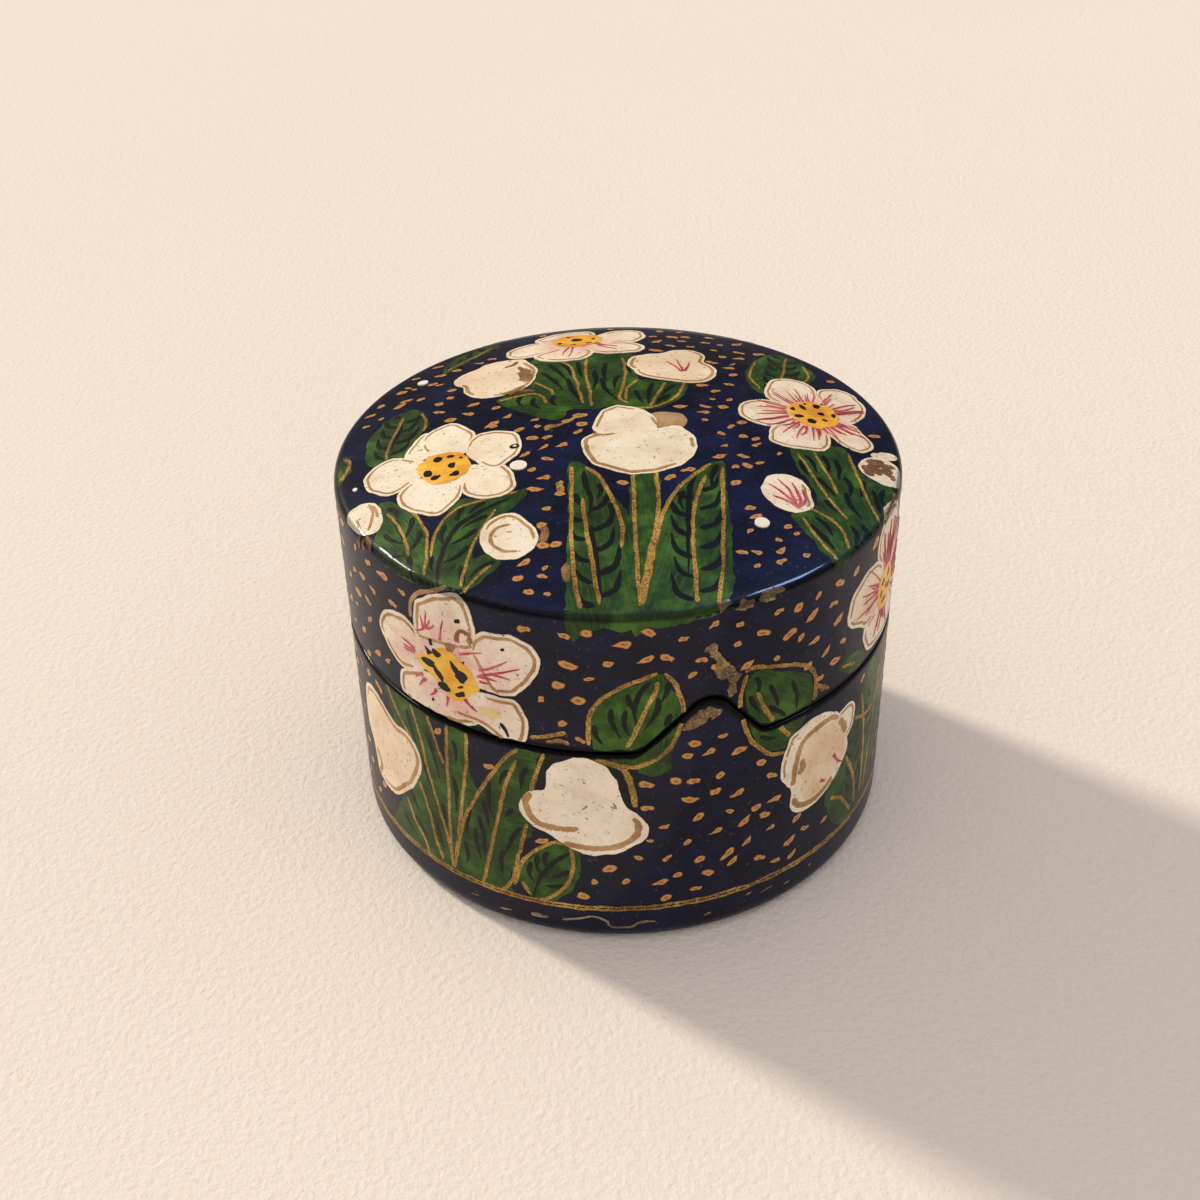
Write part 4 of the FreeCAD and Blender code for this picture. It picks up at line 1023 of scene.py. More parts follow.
def paintWallBuds():
    petal("wall", [(-10.1, 30.3), (-9.2, 32.2), (-5.2, 33.8), (-1.6, 31.8), (0.5, 25.3), (2, 24.3), (3.5, 21),
                   (1.4, 18), (-5.2, 16.6), (-10.6, 19.9), (-12.1, 20.1), (-14.4, 23.4), (-12.5, 26.9),
                   (-10.6, 27.5)], 0, tan=())
    tanLines("wall", 0, [(-12.4, 26.5), (-13.3, 24.5), (-11.6, 21.3), (-7.4, 21), (-6.1, 21.5)],
             [(-8.1, 18.4), (-5.2, 17.8), (-2, 18.1), (0.3, 19), (1.8, 20.6), (2.1, 22.2), (1.4, 23.4)], width=1.0)
    tanLines("wall", 1, [(-1.6, 25.6), (-0.8, 25.2), (-1.2, 26.2)], [(-5.4, 24.8), (-4.6, 25.6)], width=0.3)
    petal("wall", [(-46.8, 26.7), (-45.7, 28.9), (-43.1, 30), (-40.3, 29.5), (-36.6, 27.6), (-34.5, 28),
                   (-32.2, 27.1), (-30.9, 24.8), (-31.1, 22.2), (-34.1, 17.2), (-39.2, 12.8), (-44.3, 13.2),
                   (-45.4, 18.3), (-46.9, 20.1), (-47.2, 23.4)], 0, finish="petalBlush", tan=((0.25, 0.95),),
          depth=0.9, width=0.7)
    tanLines("wall", 0, [(-44.2, 17.8), (-43.0, 15.8), (-43.8, 13.6)], width=0.9)
    petal("wall", [(33.2, 28.6), (34, 30), (37.9, 29.7), (38.2, 25.7), (36.6, 23.8), (34.4, 25)], 0)
    petal("wall", [(23.8, 30.3), (25.2, 31.7), (30.6, 32.2), (34.2, 29.6), (36.6, 24.4), (36.8, 21.7), (34, 18.2),
                   (29.3, 16), (25.1, 17.3), (25.1, 21.4), (23.7, 22.8), (22.7, 24.8), (22.9, 27.6)], 1,
          tan=((0.0, 0.1), (0.9, 1.0)), depth=0.6, width=0.4)
    petal("wall", [(25.9, 25.8), (26.3, 27.9), (27.9, 29.3), (32.8, 29.4), (35.9, 25.4), (35.4, 20.9), (29.3, 17.6),
                   (27.3, 18.3), (26.4, 20.4), (26.8, 22.4), (26, 23.8)], 2, finish="petalPeach", tan=())
    tanLines("wall", 2, [(25, 22.2), (25.8, 27.9), (27.2, 29.6), (29.3, 30.3), (32, 30.4), (33.8, 29.4)],
             [(25.2, 19.6), (26.2, 17.9), (28.6, 17.1), (31.3, 17.6), (33.4, 18.8)], width=0.95)
    tanLines("wall", 2, [(34.0, 28.6), (35.2, 27.2), (36.0, 25.4)], [(26.4, 26.0), (26.8, 24.6), (26.0, 23.6)],
             width=1.1)
    crimsonLines("wall", [(33.2, 22.9), (34.4, 21.2), (35.6, 20.2)], [(30.6, 19.8), (31.6, 19.2)], width=0.6)


def paintWallSpray(shift, mirror, variant):
    # The same kind of spray goes on round the sides and the back
    def put(points):
        return [(shift + mirror * x, y) for x, y in points]

    def puts(lines):
        return [put(line) for line in lines]

    leaf("wall", put([(-15, 33.8), (-9, 31), (-3, 22), (-0.4, 6.4), (-8, 6.4), (-15, 8), (-18, 18), (-19, 27)]),
         gilt=puts([[(-13, 33.6), (-9, 21), (-2, 7)], [(-9, 30), (-4, 18), (-1, 7)],
                    [(-17.6, 27), (-12, 16), (-4, 7)]]),
         strokes=puts([[(-15, 31), (-14.6, 27), (-12.6, 23)], [(-11.4, 31), (-9.4, 28), (-8.6, 25)],
                       [(-16.4, 22), (-14.2, 19), (-11.6, 16)], [(-8.6, 24), (-6.8, 20), (-5.8, 16)],
                       [(-12.8, 14), (-10, 11), (-7.4, 9)], [(-15.2, 12), (-12.2, 9.6), (-9, 8)]]), giltWidth=0.7)
    leaf("wall", put([(0, 6.4), (3, 20), (8, 31), (15, 33.8), (18, 28), (16, 17), (11, 7.6), (5, 6.4)]),
         gilt=puts([[(14, 33.4), (8, 20), (2, 7)], [(2.6, 20), (1, 7)], [(16.8, 25), (11, 14), (4, 7)]]),
         strokes=puts([[(12.6, 31), (11.4, 27), (9.4, 24)], [(8.6, 29), (7.4, 25), (5.6, 22)],
                       [(15.6, 22), (13.2, 19), (11, 17)], [(8.6, 18), (6.4, 14), (4.8, 11)],
                       [(13.4, 14), (10.6, 11), (7.6, 9)]]), giltWidth=0.7)
    petal("wall", put([(-7.6, 24), (-3.8, 31.6), (0.4, 33.2), (4.2, 31.4), (5.4, 27.6), (8.4, 25.6), (8.8, 21.6),
                       (5.6, 18), (1, 16.8), (-3.6, 17.8), (-7, 20.4)]), 0,
          finish="petalCream" if variant else "petalBlush", tan=((0.0, 0.7),), depth=0.9, width=0.8)
    middle = put([(21.6, 45.2)])[0]
    edges = flower("wall", middle, puts([
        [(20.4, 44), (14.6, 42.4), (12.4, 38.6), (14.6, 35.8), (19.6, 36), (22, 40)],
        [(22, 43), (22.6, 37.4), (27, 35.2), (31, 37.2), (31.4, 41), (26.6, 44)],
        [(20.6, 47), (15.8, 51.4), (11, 50.6), (8.8, 46.6), (12, 43), (18, 43.6)],
        [(23.6, 46.6), (27.6, 43.4), (32.8, 44.4), (34.2, 48.6), (30, 51.6), (25, 49.4)],
        [(18.8, 47.4), (17.4, 52), (19.8, 56), (24, 56.2), (26.4, 52.4),
         (24.6, 47.6)]]), finish="petalRose" if variant else "petalCream", depth=0.9, width=0.7)
    if variant:
        rays("wall", middle, edges, 4, 20 + int(abs(shift)), 4.0)
    heart("wall", ring(middle[0], middle[1], 8.0, 7.4),
          [(middle[0] + 2.3 * math.cos(turn), middle[1] + 2.1 * math.sin(turn), 1.5, 1.2, turn * 40)
           for turn in (0.2, 1.1, 2.2, 3.0, 4.1, 5.2)])
    leaf("wall", put([(-6.4, 47.8), (-3.2, 45.4), (-2, 41), (-3.4, 37), (-7, 35.8), (-10.6, 37.4), (-12.2, 41),
                      (-10.4, 45.4)]),
         gilt=puts([[(-6.2, 47.8), (-2.8, 45.4), (-1.6, 41), (-3, 37), (-6.6, 35.4)],
                    [(-6.8, 47.8), (-10.8, 45.2), (-12.6, 41), (-11, 37.2)],
                    [(-6.6, 46.4), (-7.6, 41.0), (-7.4, 36.6)]]),
         strokes=puts([[(-4.4, 44.6), (-5.4, 42.4), (-6.8, 41)], [(-4, 40.6), (-5.2, 38.8), (-6.6, 37.6)],
                       [(-10.4, 42.6), (-9.4, 40.4), (-8, 39)], [(-9, 45.4), (-8.4, 43.4), (-7.4, 42)]]),
         giltWidth=0.8)


def paintWear():
    # Lacquer gone down to the board at a few knocks
    for outline in ([(10.8, 50.6), (12, 50.9), (12.6, 49.3), (15.5, 45.8), (15, 44), (15.2, 42.6), (14.4, 42.1),
                     (13.8, 44.8), (12.3, 46.3), (11.8, 48.4)],
                    [(7.4, 38.2), (11.2, 41), (12.9, 40.5), (12.6, 39.6), (11, 38.9), (9.3, 37.8)],
                    [(14.4, 55.7), (15.4, 56.3), (16.8, 56.5), (17.4, 55.8), (16.2, 55.1), (15.1, 55.2)],
                    [(18.2, 56), (19.2, 56.8), (21.6, 57), (21.2, 56), (19.8, 55.6)],
                    [(12.6, 56.4), (13.5, 56.8), (13.9, 56.1), (13, 55.7)]):
        area("wall", "bareBoard", handEdge(outline, 0.7, 0.9, 0.3), lifts["chip"], cover=False)
    ribbon("wall", "scratchedTan",
           [(-8.8, 3.5), (-4.9, 4.5), (-2.7, 3.9), (-1.6, 2.7), (0.5, 2.8), (2.4, 3.5), (4.4, 3.6)], 0.34,
           lifts["gilt"], wander=0.5)
    for x, y, wide, tall in ((-12.1, 3.5, 2.2, 0.7), (2.6, 3.6, 1.7, 0.4), (-17.4, 2.9, 1.5, 0.3),
                             (11.9, 3.4, 0.9, 0.4), (18.2, 4.9, 1.4, 0.3), (21.6, 4.4, 1.9, 0.3),
                             (25.0, 3.6, 0.9, 0.3), (29.6, 4.3, 0.6, 0.4), (-22.6, 3.4, 1.2, 0.25)):
        spot("wall", "scratchedTan", x, y, wide, tall, lifts["gilt"], 10, 0.5)


for paint in (paintFrontLeaves, paintLeftLeaves, paintBackLeaves, paintRightLeaves, paintCrownFlowers, paintCrownBuds,
              paintWallLeaves, paintWallFlower, paintWallBuds):
    paint()
for shift, mirror, variant in ((84.0, 1, 0), (-84.0, -1, 1), (125.6, -1, 1)):
    paintWallSpray(shift, mirror, variant)
paintWear()
print("motifs painted")


# Gilt dabs, scattered over the dark ground by a node tree on flat sheets, then laid round the box

dabs = {
    "spacing": {"top": 3.2, "wall": 4.0},
    "stray": 1.1,
    "size": {"top": 1.0, "wall": 1.12},
    "sizeSpread": 0.32,
    # Most lie flat or lean up to the right, in degrees
    "turn": (-24, 50),
    "seed": 4,
    "wander": 0.24,
    "wanderSize": 0.5,
    "fromPaint": 0.95,
    "aboveFoot": 8.2,
    "belowShoulder": 0.9,
    "fromDomeEdge": 1.3,
    "rimFall": 0.012,
    # Outlines of the touches, in millimetres
    "lump": [(-0.8, -0.05), (-0.3, -0.42), (0.4, -0.45), (0.8, 0), (0.35, 0.42), (-0.35, 0.42)],
    "kite": [(-1.0, 0.1), (-0.3, -0.4), (0.4, -0.4), (1.05, 0.1), (0.3, 0.35), (-0.4, 0.4)],
    "pebble": [(-0.6, -0.25), (0, -0.48), (0.55, -0.25), (0.6, 0.2), (0.05, 0.45), (-0.55, 0.3)],
    "drop": [(-1.15, 0), (-0.3, -0.3), (0.4, -0.48), (0.85, 0), (0.4, 0.45), (-0.3, 0.28)],
    "bean": [(-0.9, 0.1), (-0.45, -0.38), (0.1, -0.3), (0.65, -0.42), (0.9, 0.05), (0.3, 0.35), (-0.4, 0.45)],
}


def clearOfPaint(chart, x, y, margin):
    # The wall chart is also tried a whole turn on, where a leaf may cross its back line
    turns = (0, 2 * math.pi * outer, -2 * math.pi * outer) if chart == "wall" else (0,)
    return not any(inside(outline, x + across + turn, y + up) for outline in inkedAreas[chart] for turn in turns
                   for across, up in ((0, 0), (margin, 0), (-margin, 0), (0, margin), (0, -margin)))


def dabPlaces(chart):
    hand = random.Random(dabs["seed"] + len(chart))
    places = {"lid": [], "base": []}
    step = dabs["spacing"][chart]
    if chart == "wall":
        low, high = -math.pi * outer, math.pi * outer - step * 0.6
        y, top = dabs["aboveFoot"], shoulderUp - 0.8
    else:
        low, high = -domeArc, domeArc
        y, top = low, high
    row = 0
    while y < top:
        x = low + step / 2 * (row % 2)
        while x < high:
            spotX, spotY = (near + hand.uniform(-1, 1) * dabs["stray"] for near in (x, y))
            x += step
            if chart == "top":
                away = math.hypot(spotX, spotY) > domeArc - dabs["fromDomeEdge"]
            else:
                away = not dabs["aboveFoot"] - 0.3 < spotY < shoulderUp - dabs["belowShoulder"]
            sides = {sideOfSeam(chart, spotX, spotY + shift) for shift in (-1.0, 0.0, 1.0)}
            if not away and len(sides) == 1 and None not in sides:
                if clearOfPaint(chart, spotX, spotY, dabs["fromPaint"]):
                    places[sides.pop()].append((spotX, spotY))
        y += step * 0.87
        row += 1
    return places


def dabStamps():
    # Each a closed lump; its attribute runs from 0 in the middle to 1 at the rim
    holder = bpy.data.collections.new("dabStamps")
    for order, name in enumerate(("lump", "kite", "pebble", "drop", "bean")):
        rim = [tuple(point) for point in smooth(dabs[name], True, 0.4)]
        count = len(rim)
        points, shares = [], []
        for share, height in ((1.0, paintSink), (1.0, lifts["gilt"] - dabs["rimFall"]), (0.62, lifts["gilt"])):
            points += [(x * share, y * share, height) for x, y in rim]
            shares += [share] * count
        points.append((0, 0, lifts["gilt"]))
        shares.append(0.0)
        pairs = [(index, (index + 1) % count) for index in range(count)]
        faces = [tuple(reversed(range(count)))]
        for row in (0, count):
            faces += [(row + here, row + there, row + count + there, row + count + here) for here, there in pairs]
        faces += [(2 * count + here, 2 * count + there, 3 * count) for here, there in pairs]
        mesh = bpy.data.meshes.new(name)
        mesh.from_pydata(points, [], faces)
        mesh.attributes.new("rimShare", "FLOAT", "POINT").data.foreach_set("value", shares)
        holder.objects.link(bpy.data.objects.new(f"{order}{name}", mesh))
    return holder


def dabTree(material):
    tree = bpy.data.node_groups.new("giltDabs", "GeometryNodeTree")
    for name, kind in (("Geometry", "Geometry"), ("Stamps", "Collection"), ("Size", "Float"),
                       ("Size spread", "Float"), ("Seed", "Int")):
        tree.interface.new_socket(name, in_out="INPUT", socket_type=f"NodeSocket{kind}")
    tree.interface.new_socket("Geometry", in_out="OUTPUT", socket_type="NodeSocketGeometry")
    given = tree.nodes.new("NodeGroupInput").outputs
    size, spread, seed = given["Size"], given["Size spread"], given["Seed"]
    least, most = ((0, 0, math.radians(degrees)) for degrees in dabs["turn"])
    smallest, largest = (addNode(tree, "ShaderNodeMath", {0: size, 1: spread}, operation=operation).outputs[0]
                         for operation in ("SUBTRACT", "ADD"))
    # A Random Value node keeps its vector, float and whole-number sockets side by side
    turn = addNode(tree, "FunctionNodeRandomValue", {0: least, 1: most, "Seed": seed}, data_type="FLOAT_VECTOR")
    scale = addNode(tree, "FunctionNodeRandomValue", {2: smallest, 3: largest, "Seed": seed})
    choice = addNode(tree, "FunctionNodeRandomValue", {4: 0, 5: 4, "Seed": seed}, data_type="INT")
    points = addNode(tree, "GeometryNodeMeshToPoints", {"Mesh": given["Geometry"]})
    stamps = addNode(tree, "GeometryNodeCollectionInfo", {"Collection": given["Stamps"], "Separate Children": True,
                                                          "Reset Children": True})
    laid = addNode(tree, "GeometryNodeInstanceOnPoints", {
        "Points": points.outputs["Points"], "Instance": stamps.outputs["Instances"], "Pick Instance": True,
        "Instance Index": choice.outputs[2], "Rotation": turn.outputs[0], "Scale": scale.outputs[1]})
    real = addNode(tree, "GeometryNodeRealizeInstances", {"Geometry": laid.outputs["Instances"]})
    finish = addNode(tree, "GeometryNodeSetMaterial", {"Geometry": real.outputs["Geometry"], "Material": material})
    addNode(tree, "NodeGroupOutput", {"Geometry": finish.outputs["Geometry"]})
    return tree


def socketNamed(tree, name):
    return next(item.identifier for item in tree.interface.items_tree if item.name == name and item.in_out == "INPUT")


def layDabs():
    tree = dabTree(bpy.data.materials.new("dabStandIn"))
    stamps = dabStamps()
    for chart in ("top", "wall"):
        for body, places in dabPlaces(chart).items():
            if not places:
                continue
            mesh = bpy.data.meshes.new("dabPlaces")
            mesh.from_pydata([(x, y, 0) for x, y in places], [], [])
            sheet = addObject("dabSheet", mesh)
            modifier = sheet.modifiers.new("giltDabs", "NODES")
            modifier.node_group = tree
            for name, value in (("Stamps", stamps), ("Size", dabs["size"][chart]), ("Size spread", dabs["sizeSpread"]),
                                ("Seed", dabs["seed"])):
                modifier[socketNamed(tree, name)] = value
            graph = bpy.context.evaluated_depsgraph_get()
            flat = bpy.data.meshes.new_from_object(sheet.evaluated_get(graph))
            store = gather(body, "dabGilt")
            start = len(store["points"])
            for vertex, share in zip(flat.vertices, flat.attributes["rimShare"].data):
                x, y = unsteady(vertex.co, dabs["wander"], dabs["wanderSize"])
                lift = lifts["gilt"] - (dabs["rimFall"] if share.value > 0.9 else 0)
                store["points"].append(onSurface(*charts[chart](x, y), paintSink if vertex.co.z < 0 else lift))
                store["brush"].append((x, y, share.value))
            for polygon in flat.polygons:
                store["faces"].append([start + corner for corner in polygon.vertices])
            bpy.data.objects.remove(sheet)
            print("dabs", chart, body, len(places))
    for stamp in list(stamps.objects):
        bpy.data.objects.remove(stamp)


layDabs()


# The two-ply line round the foot

rope = {"height": 6.35, "wander": 0.30, "spread": 0.29, "line": 0.34, "twist": 1.5, "tie": 0.3, "columns": 640}


def ropeHeight(x):
    return rope["height"] + rope["wander"] * math.sin(x / outer + 0.2)


def layRope():
    # Two thin gilt lines that waver against each other, with short slanting ties between them
    around = 2 * math.pi * outer
    rim = lifts["gilt"] - 0.01
    section = ((-1, paintSink), (-1, rim), (0, lifts["gilt"]), (1, rim), (1, paintSink))
    corners, columns = len(section), rope["columns"]
    store = gather("base", "giltPaint")
    for side in (-1, 1):
        start = len(store["points"])
        for column in range(columns):
            x = around * column / columns
            turn = noise.noise(Vector((math.cos(x / outer) * 22, math.sin(x / outer) * 22, side * 3.0)))
            middle = ropeHeight(x) + side * rope["spread"] * (1 + 0.5 * turn)
            half = rope["line"] / 2 * (1 + 0.5 * turn)
            for across, lift in section:
                store["points"].append(onSurface(*fromWall(x, middle + across * half), lift))
                store["brush"].append((x, across, 0.5))
        for column in range(columns):
            here, there = start + column * corners, start + (column + 1) % columns * corners
            for corner in range(corners):
                after = (corner + 1) % corners
                store["faces"].append([here + corner, there + corner, there + after, here + after])
    x = 0.0
    while x < around - rope["twist"]:
        y = ropeHeight(x)
        tie = [(x - rope["tie"], y - rope["spread"]), (x + rope["tie"], y + rope["spread"])]
        ribbon("wall", "giltPaint", tie, 0.3, lifts["gilt"] + 0.003, wander=0.2)
        x += rope["twist"] * (1 + 0.5 * noise.noise(Vector((x, 1.0, 4.0))))


layRope()


# The boards under the paint, each one closed and smooth

boards = {
    "columns": 480,
    "crease": 38.0,
    "domeRows": 26,
    "shoulderRows": 8,
    "underDomeRows": 18,
    "heelRows": 8,
    "arrisTurns": (0, 22.5, 45, 67.5, 90),
    "sawnInsets": (1.2, 2.1),
    # Rows of faces above and below the seam, closer together near it
    "lidRises": (18.5, 16.5, 14.5, 12.5, 10.8, 9.2, 7.6, 6.2, 5.0, 3.9, 3.0, 2.2, 1.6, 1.15, 0.8),
    "lidBoreRises": (0.5, 1.5, 3.0, 5.0, 8.0, 11.0, 14.0),
    "baseDrops": (0.8, 1.15, 1.6, 2.2, 3.0, 3.9, 5.0, 6.2, 7.6, 9.2, 11.0, 13.5, 16.5, 20.0, 24.0, 28.0),
    "baseBoreDrops": (24.0, 18.0, 13.0, 9.0, 6.0, 3.5, 2.0, 0.8),
    "floorRadii": (12.0, 24.0, 32.0, 36.0),
    "undersideRadii": (36.0, 28.0, 16.0),
    "seamBlackReach": 0.9,
}

# Materials of the boards, in the order of their slots
wallSlot, blackSlot, seamSlot = 0, 1, 2
farFromSeam = 99.0


def lathe(name, rows, materials):
    # Rows of (radius, height or height at an angle, slot); the first and last may lie on the axis
    columns = boards["columns"]
    points, faces, slots, gaps, starts = [], [], [], [], []
    for radius, height, _ in rows:
        starts.append(len(points))
        for column in range(columns if radius else 1):
            angle = 2 * math.pi * column / columns
            level, gap = height(angle) if callable(height) else (height, farFromSeam)
            points.append((radius * math.sin(angle) * mm, -radius * math.cos(angle) * mm, level * mm))
            gaps.append(gap)
    pairs = list(zip(rows, rows[1:], starts, starts[1:]))
    if rows[0][0]:
        pairs.append((rows[-1], rows[0], starts[-1], starts[0]))
    for (radius, _, slot), (nextRadius, _, _), start, following in pairs:
        for column in range(columns):
            after = (column + 1) % columns
            if radius == 0:
                faces.append((start, following + column, following + after))
            elif nextRadius == 0:
                faces.append((start + column, following, start + after))
            else:
                faces.append((start + column, following + column, following + after, start + after))
            slots.append(slot)
    mesh = bpy.data.meshes.new(name)
    mesh.from_pydata(points, [], faces)
    for material in materials:
        mesh.materials.append(material)
    mesh.polygons.foreach_set("material_index", slots)
    mesh.attributes.new("seamGap", "FLOAT", "POINT").data.foreach_set("value", gaps)
    mesh.shade_smooth()
    mesh.set_sharp_from_angle(angle=math.radians(boards["crease"]))
    return addObject(name, mesh)


def seamSlope(angle, radius):
    step = 0.002
    return (seamHeight(angle + step, radius) - seamHeight(angle - step, radius)) / (2 * step * radius)


def aboveSeam(radius, rise, far, gap):
    # A height measured from the seam, which runs level by the time it reaches the far end
    def height(angle):
        edge = seamHeight(angle, radius) + gap
        across = 1 / math.sqrt(1 + seamSlope(angle, radius) ** 2)
        fade = 1 - abs(rise) / abs(far)
        level = form["seam"] + gap
        return level + (edge - level) * max(0.0, fade) + rise, abs(rise) * (across * fade + 1 - fade)
    return height


def seamRows(radius, rises, far, gap, slot):
    # Rows at their heights above or below the seam; on the outside the nearest ones are seam black
    return [(radius, aboveSeam(radius, rise, far, gap),
             seamSlot if slot == wallSlot and abs(rise) < boards["seamBlackReach"] else slot) for rise in rises]


def edgeRow(radius, gap, slot, drop=0.0, sign=0):
    # A row on the seam itself, or a drop away from it
    def height(angle):
        return seamHeight(angle, outer if sign else radius) + gap + sign * drop, 0.0 if drop < 0.2 else drop
    return radius, height, slot


def arrisRows(gap, sign):
    # The rounded edge of a sawn board, from its outside to its sawn face
    rows = []
    for turn in boards["arrisTurns"]:
        drop, depth = (form["arris"] * (1 - part(math.radians(turn))) for part in (math.sin, math.cos))
        rows.append(edgeRow(outer - depth, gap, seamSlot, drop, sign))
    return rows


def sawnFaceRows(gap):
    return [edgeRow(outer - depth, gap, blackSlot) for depth in boards["sawnInsets"]]


def meridianRows(start, end, count, first=0):
    rows = []
    for index in range(first, count + 1):
        radius, height, _, _ = meridian(start + (end - start) * index / count)
        rows.append((radius, max(height, 0.0), wallSlot))
    return rows


def makeLidBoards(materials):
    # The rows run down the outside and up the inside, which turns the faces outwards
    gap = form["seamGap"]
    far = shoulderUp - form["seam"] - gap
    rows = [(0, form["domeTop"], wallSlot)]
    rows += meridianRows(0, domeArc, boards["domeRows"], 1)
    rows += meridianRows(domeArc, wallStart, boards["shoulderRows"], 1)
    rows += seamRows(outer, boards["lidRises"], far, gap, wallSlot)
    rows += arrisRows(gap, 1) + sawnFaceRows(gap) + [edgeRow(bore, gap, blackSlot)]
    rows += seamRows(bore, boards["lidBoreRises"], far, gap, blackSlot)
    step = bore - form["stepWidth"]
    under = domeRadius - form["domeBoard"]
    rows += [(bore, form["stepFoot"], blackSlot), (step, form["stepFoot"], blackSlot)]
    for index in range(boards["underDomeRows"], 0, -1):
        radius = step * index / boards["underDomeRows"]
        rows.append((radius, domeCentre + math.sqrt(under ** 2 - radius ** 2), blackSlot))
    rows.append((0, domeCentre + under, blackSlot))
    return lathe("lidBoards", rows, materials)


def makeBaseBoards(materials):
    # Listed up the inside and down the outside, then turned round
    rows = [(radius, form["floorTop"], blackSlot) for radius in (0, *boards["floorRadii"], bore)]
    rows += seamRows(bore, [-drop for drop in boards["baseBoreDrops"]], form["seam"] - form["floorTop"], 0.0, blackSlot)
    rows.append(edgeRow(bore, 0.0, blackSlot))
    rows += reversed(arrisRows(0.0, -1) + sawnFaceRows(0.0))
    rows += seamRows(outer, [-drop for drop in boards["baseDrops"]], form["seam"] - form["heelHeight"], 0.0, wallSlot)
    rows += meridianRows(heelStart, heelEnd, boards["heelRows"])
    rows += [(radius, 0.0, blackSlot) for radius in (*boards["undersideRadii"], 0)]
    rows.reverse()
    return lathe("baseBoards", rows, materials)


def makeCollar(materials):
    low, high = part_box("seat_collar")
    top, foot = high.z / mm, low.z / mm
    inner, standing = bore - form["collarBoard"], bore - form["collarSlip"]
    glued = bore - 0.02
    rows = [(inner, top - 0.25), (inner + 0.07, top - 0.07), (inner + 0.25, top), (standing - 0.8, top),
            (standing - 0.55, top - 0.12), (standing - 0.12, top - 0.62), (standing, top - 0.85)]
    rows += [(standing, top - drop) for drop in (2.0, 4.0, 6.0, 8.0)]
    rows += [(standing, form["seam"] + 0.03), (glued, form["seam"]), (glued, foot), (inner + 1.2, foot),
             (inner + 0.5, foot + 0.6)]
    rows += [(inner, foot + rise) for rise in (1.2, 6.0, 12.0, 18.0)]
    return lathe("seatCollar", [(radius, height, 0) for radius, height in rows], materials)


# Finishes: each function below adds to the material's node tree and returns the socket that holds its result

def newFinish(name):
    material = bpy.data.materials.new(name)
    material.use_nodes = True
    tree = material.node_tree
    return material, tree, tree.nodes["Principled BSDF"], tree.nodes.new("ShaderNodeTexCoord").outputs["Object"]


def calculate(tree, operation, *values):
    return addNode(tree, "ShaderNodeMath", dict(enumerate(values)), operation=operation).outputs[0]


def noiseOn(tree, source, scale, detail=3.0, roughness=0.55, stretch=None):
    if stretch:
        source = addNode(tree, "ShaderNodeMapping", {"Scale": stretch, "Vector": source}).outputs["Vector"]
    inputs = {"Scale": scale, "Detail": detail, "Roughness": roughness, "Vector": source}
    return addNode(tree, "ShaderNodeTexNoise", inputs).outputs["Fac"]


def rampOn(tree, source, *stops):
    ramp = addNode(tree, "ShaderNodeValToRGB", {"Fac": source})
    band = ramp.color_ramp.elements
    while len(band) < len(stops):
        band.new(0.5)
    for element, (place, colour) in zip(band, stops):
        element.position = place
        element.color = paintColour(*colour)
    return ramp.outputs["Color"]


def stepOn(tree, source, low, high):
    # Rises from 0 to 1 between two values
    return addNode(tree, "ShaderNodeMapRange", {"From Min": low, "From Max": high, "Value": source}).outputs["Result"]


def layOver(tree, colour, other, share, strength=1.0):
    # Another colour over the first one, by a share of its strength
    share = calculate(tree, "MULTIPLY", share, strength)
    return addNode(tree, "ShaderNodeMix", {0: share, 6: colour, 7: paintColour(*other)}, data_type="RGBA").outputs[2]


def brushOn(tree):
    # The brush attribute, and its third value alone
    brush = addNode(tree, "ShaderNodeAttribute", {}, attribute_name="brush").outputs["Vector"]
    return brush, addNode(tree, "ShaderNodeSeparateXYZ", {"Vector": brush}).outputs["Z"]


def heightOn(tree, place):
    return addNode(tree, "ShaderNodeSeparateXYZ", {"Vector": place}).outputs["Z"]


def bumpFrom(tree, shader, height, strength, distance, coat=0.1):
    # The varnish over the paint is smoother than the paint
    for name, share in (("Normal", 1.0), ("Coat Normal", coat)):
        bump = addNode(tree, "ShaderNodeBump", {"Strength": strength * share, "Distance": distance, "Height": height})
        tree.links.new(bump.outputs["Normal"], shader.inputs[name])


def setSurface(tree, shader, colour, roughness, specular, coat=0.0, coatRoughness=0.0):
    tree.links.new(colour, shader.inputs["Base Color"])
    shader.inputs["Roughness"].default_value = roughness
    shader.inputs["Specular IOR Level"].default_value = specular
    if coat:
        shader.inputs["Coat Weight"].default_value = coat
        shader.inputs["Coat Roughness"].default_value = coatRoughness
        shader.inputs["Coat IOR"].default_value = 1.45


lacquer = {
    "deep": (11, 13, 30),
    "middle": (16, 20, 48),
    "bright": (26, 37, 86),
    # Painted shade: the greyer navy over the wall below the shoulder, and how strongly it is laid on
    "wallShadeTone": (18, 17, 34),
    "wallShadeShare": 0.6,
    "black": (5, 5, 7),
    "rubbed": (96, 84, 74),
    "surface": {"roughness": 0.45, "specular": 0.06, "coat": 0.3, "coatRoughness": 0.04},
    # Noises: scale per metre, detail and roughness
    "cloud": (90, 6, 0.7),
    "brush": (420, 4, 0.65),
    "brushStretch": (0.45, 1.0, 1.0),
    "specks": (1900, 2, 0.5),
    "ragged": (800, 4, 0.6),
    "relief": (150, 4, 0.6),
    "shoulderShadeNoise": (160, 4, 0.6),
    # Ragged edge of the black along the seam, in millimetres from it
    "seamBlack": (1.35, 1.2),
    # Heights of the painted shade line along the shoulder, where the top turns into the wall, in metres
    "shoulderShadeFoot": 0.0558,
    "shoulderShadeTop": 0.0566,
    "shoulderShadeWander": 0.0008,
}


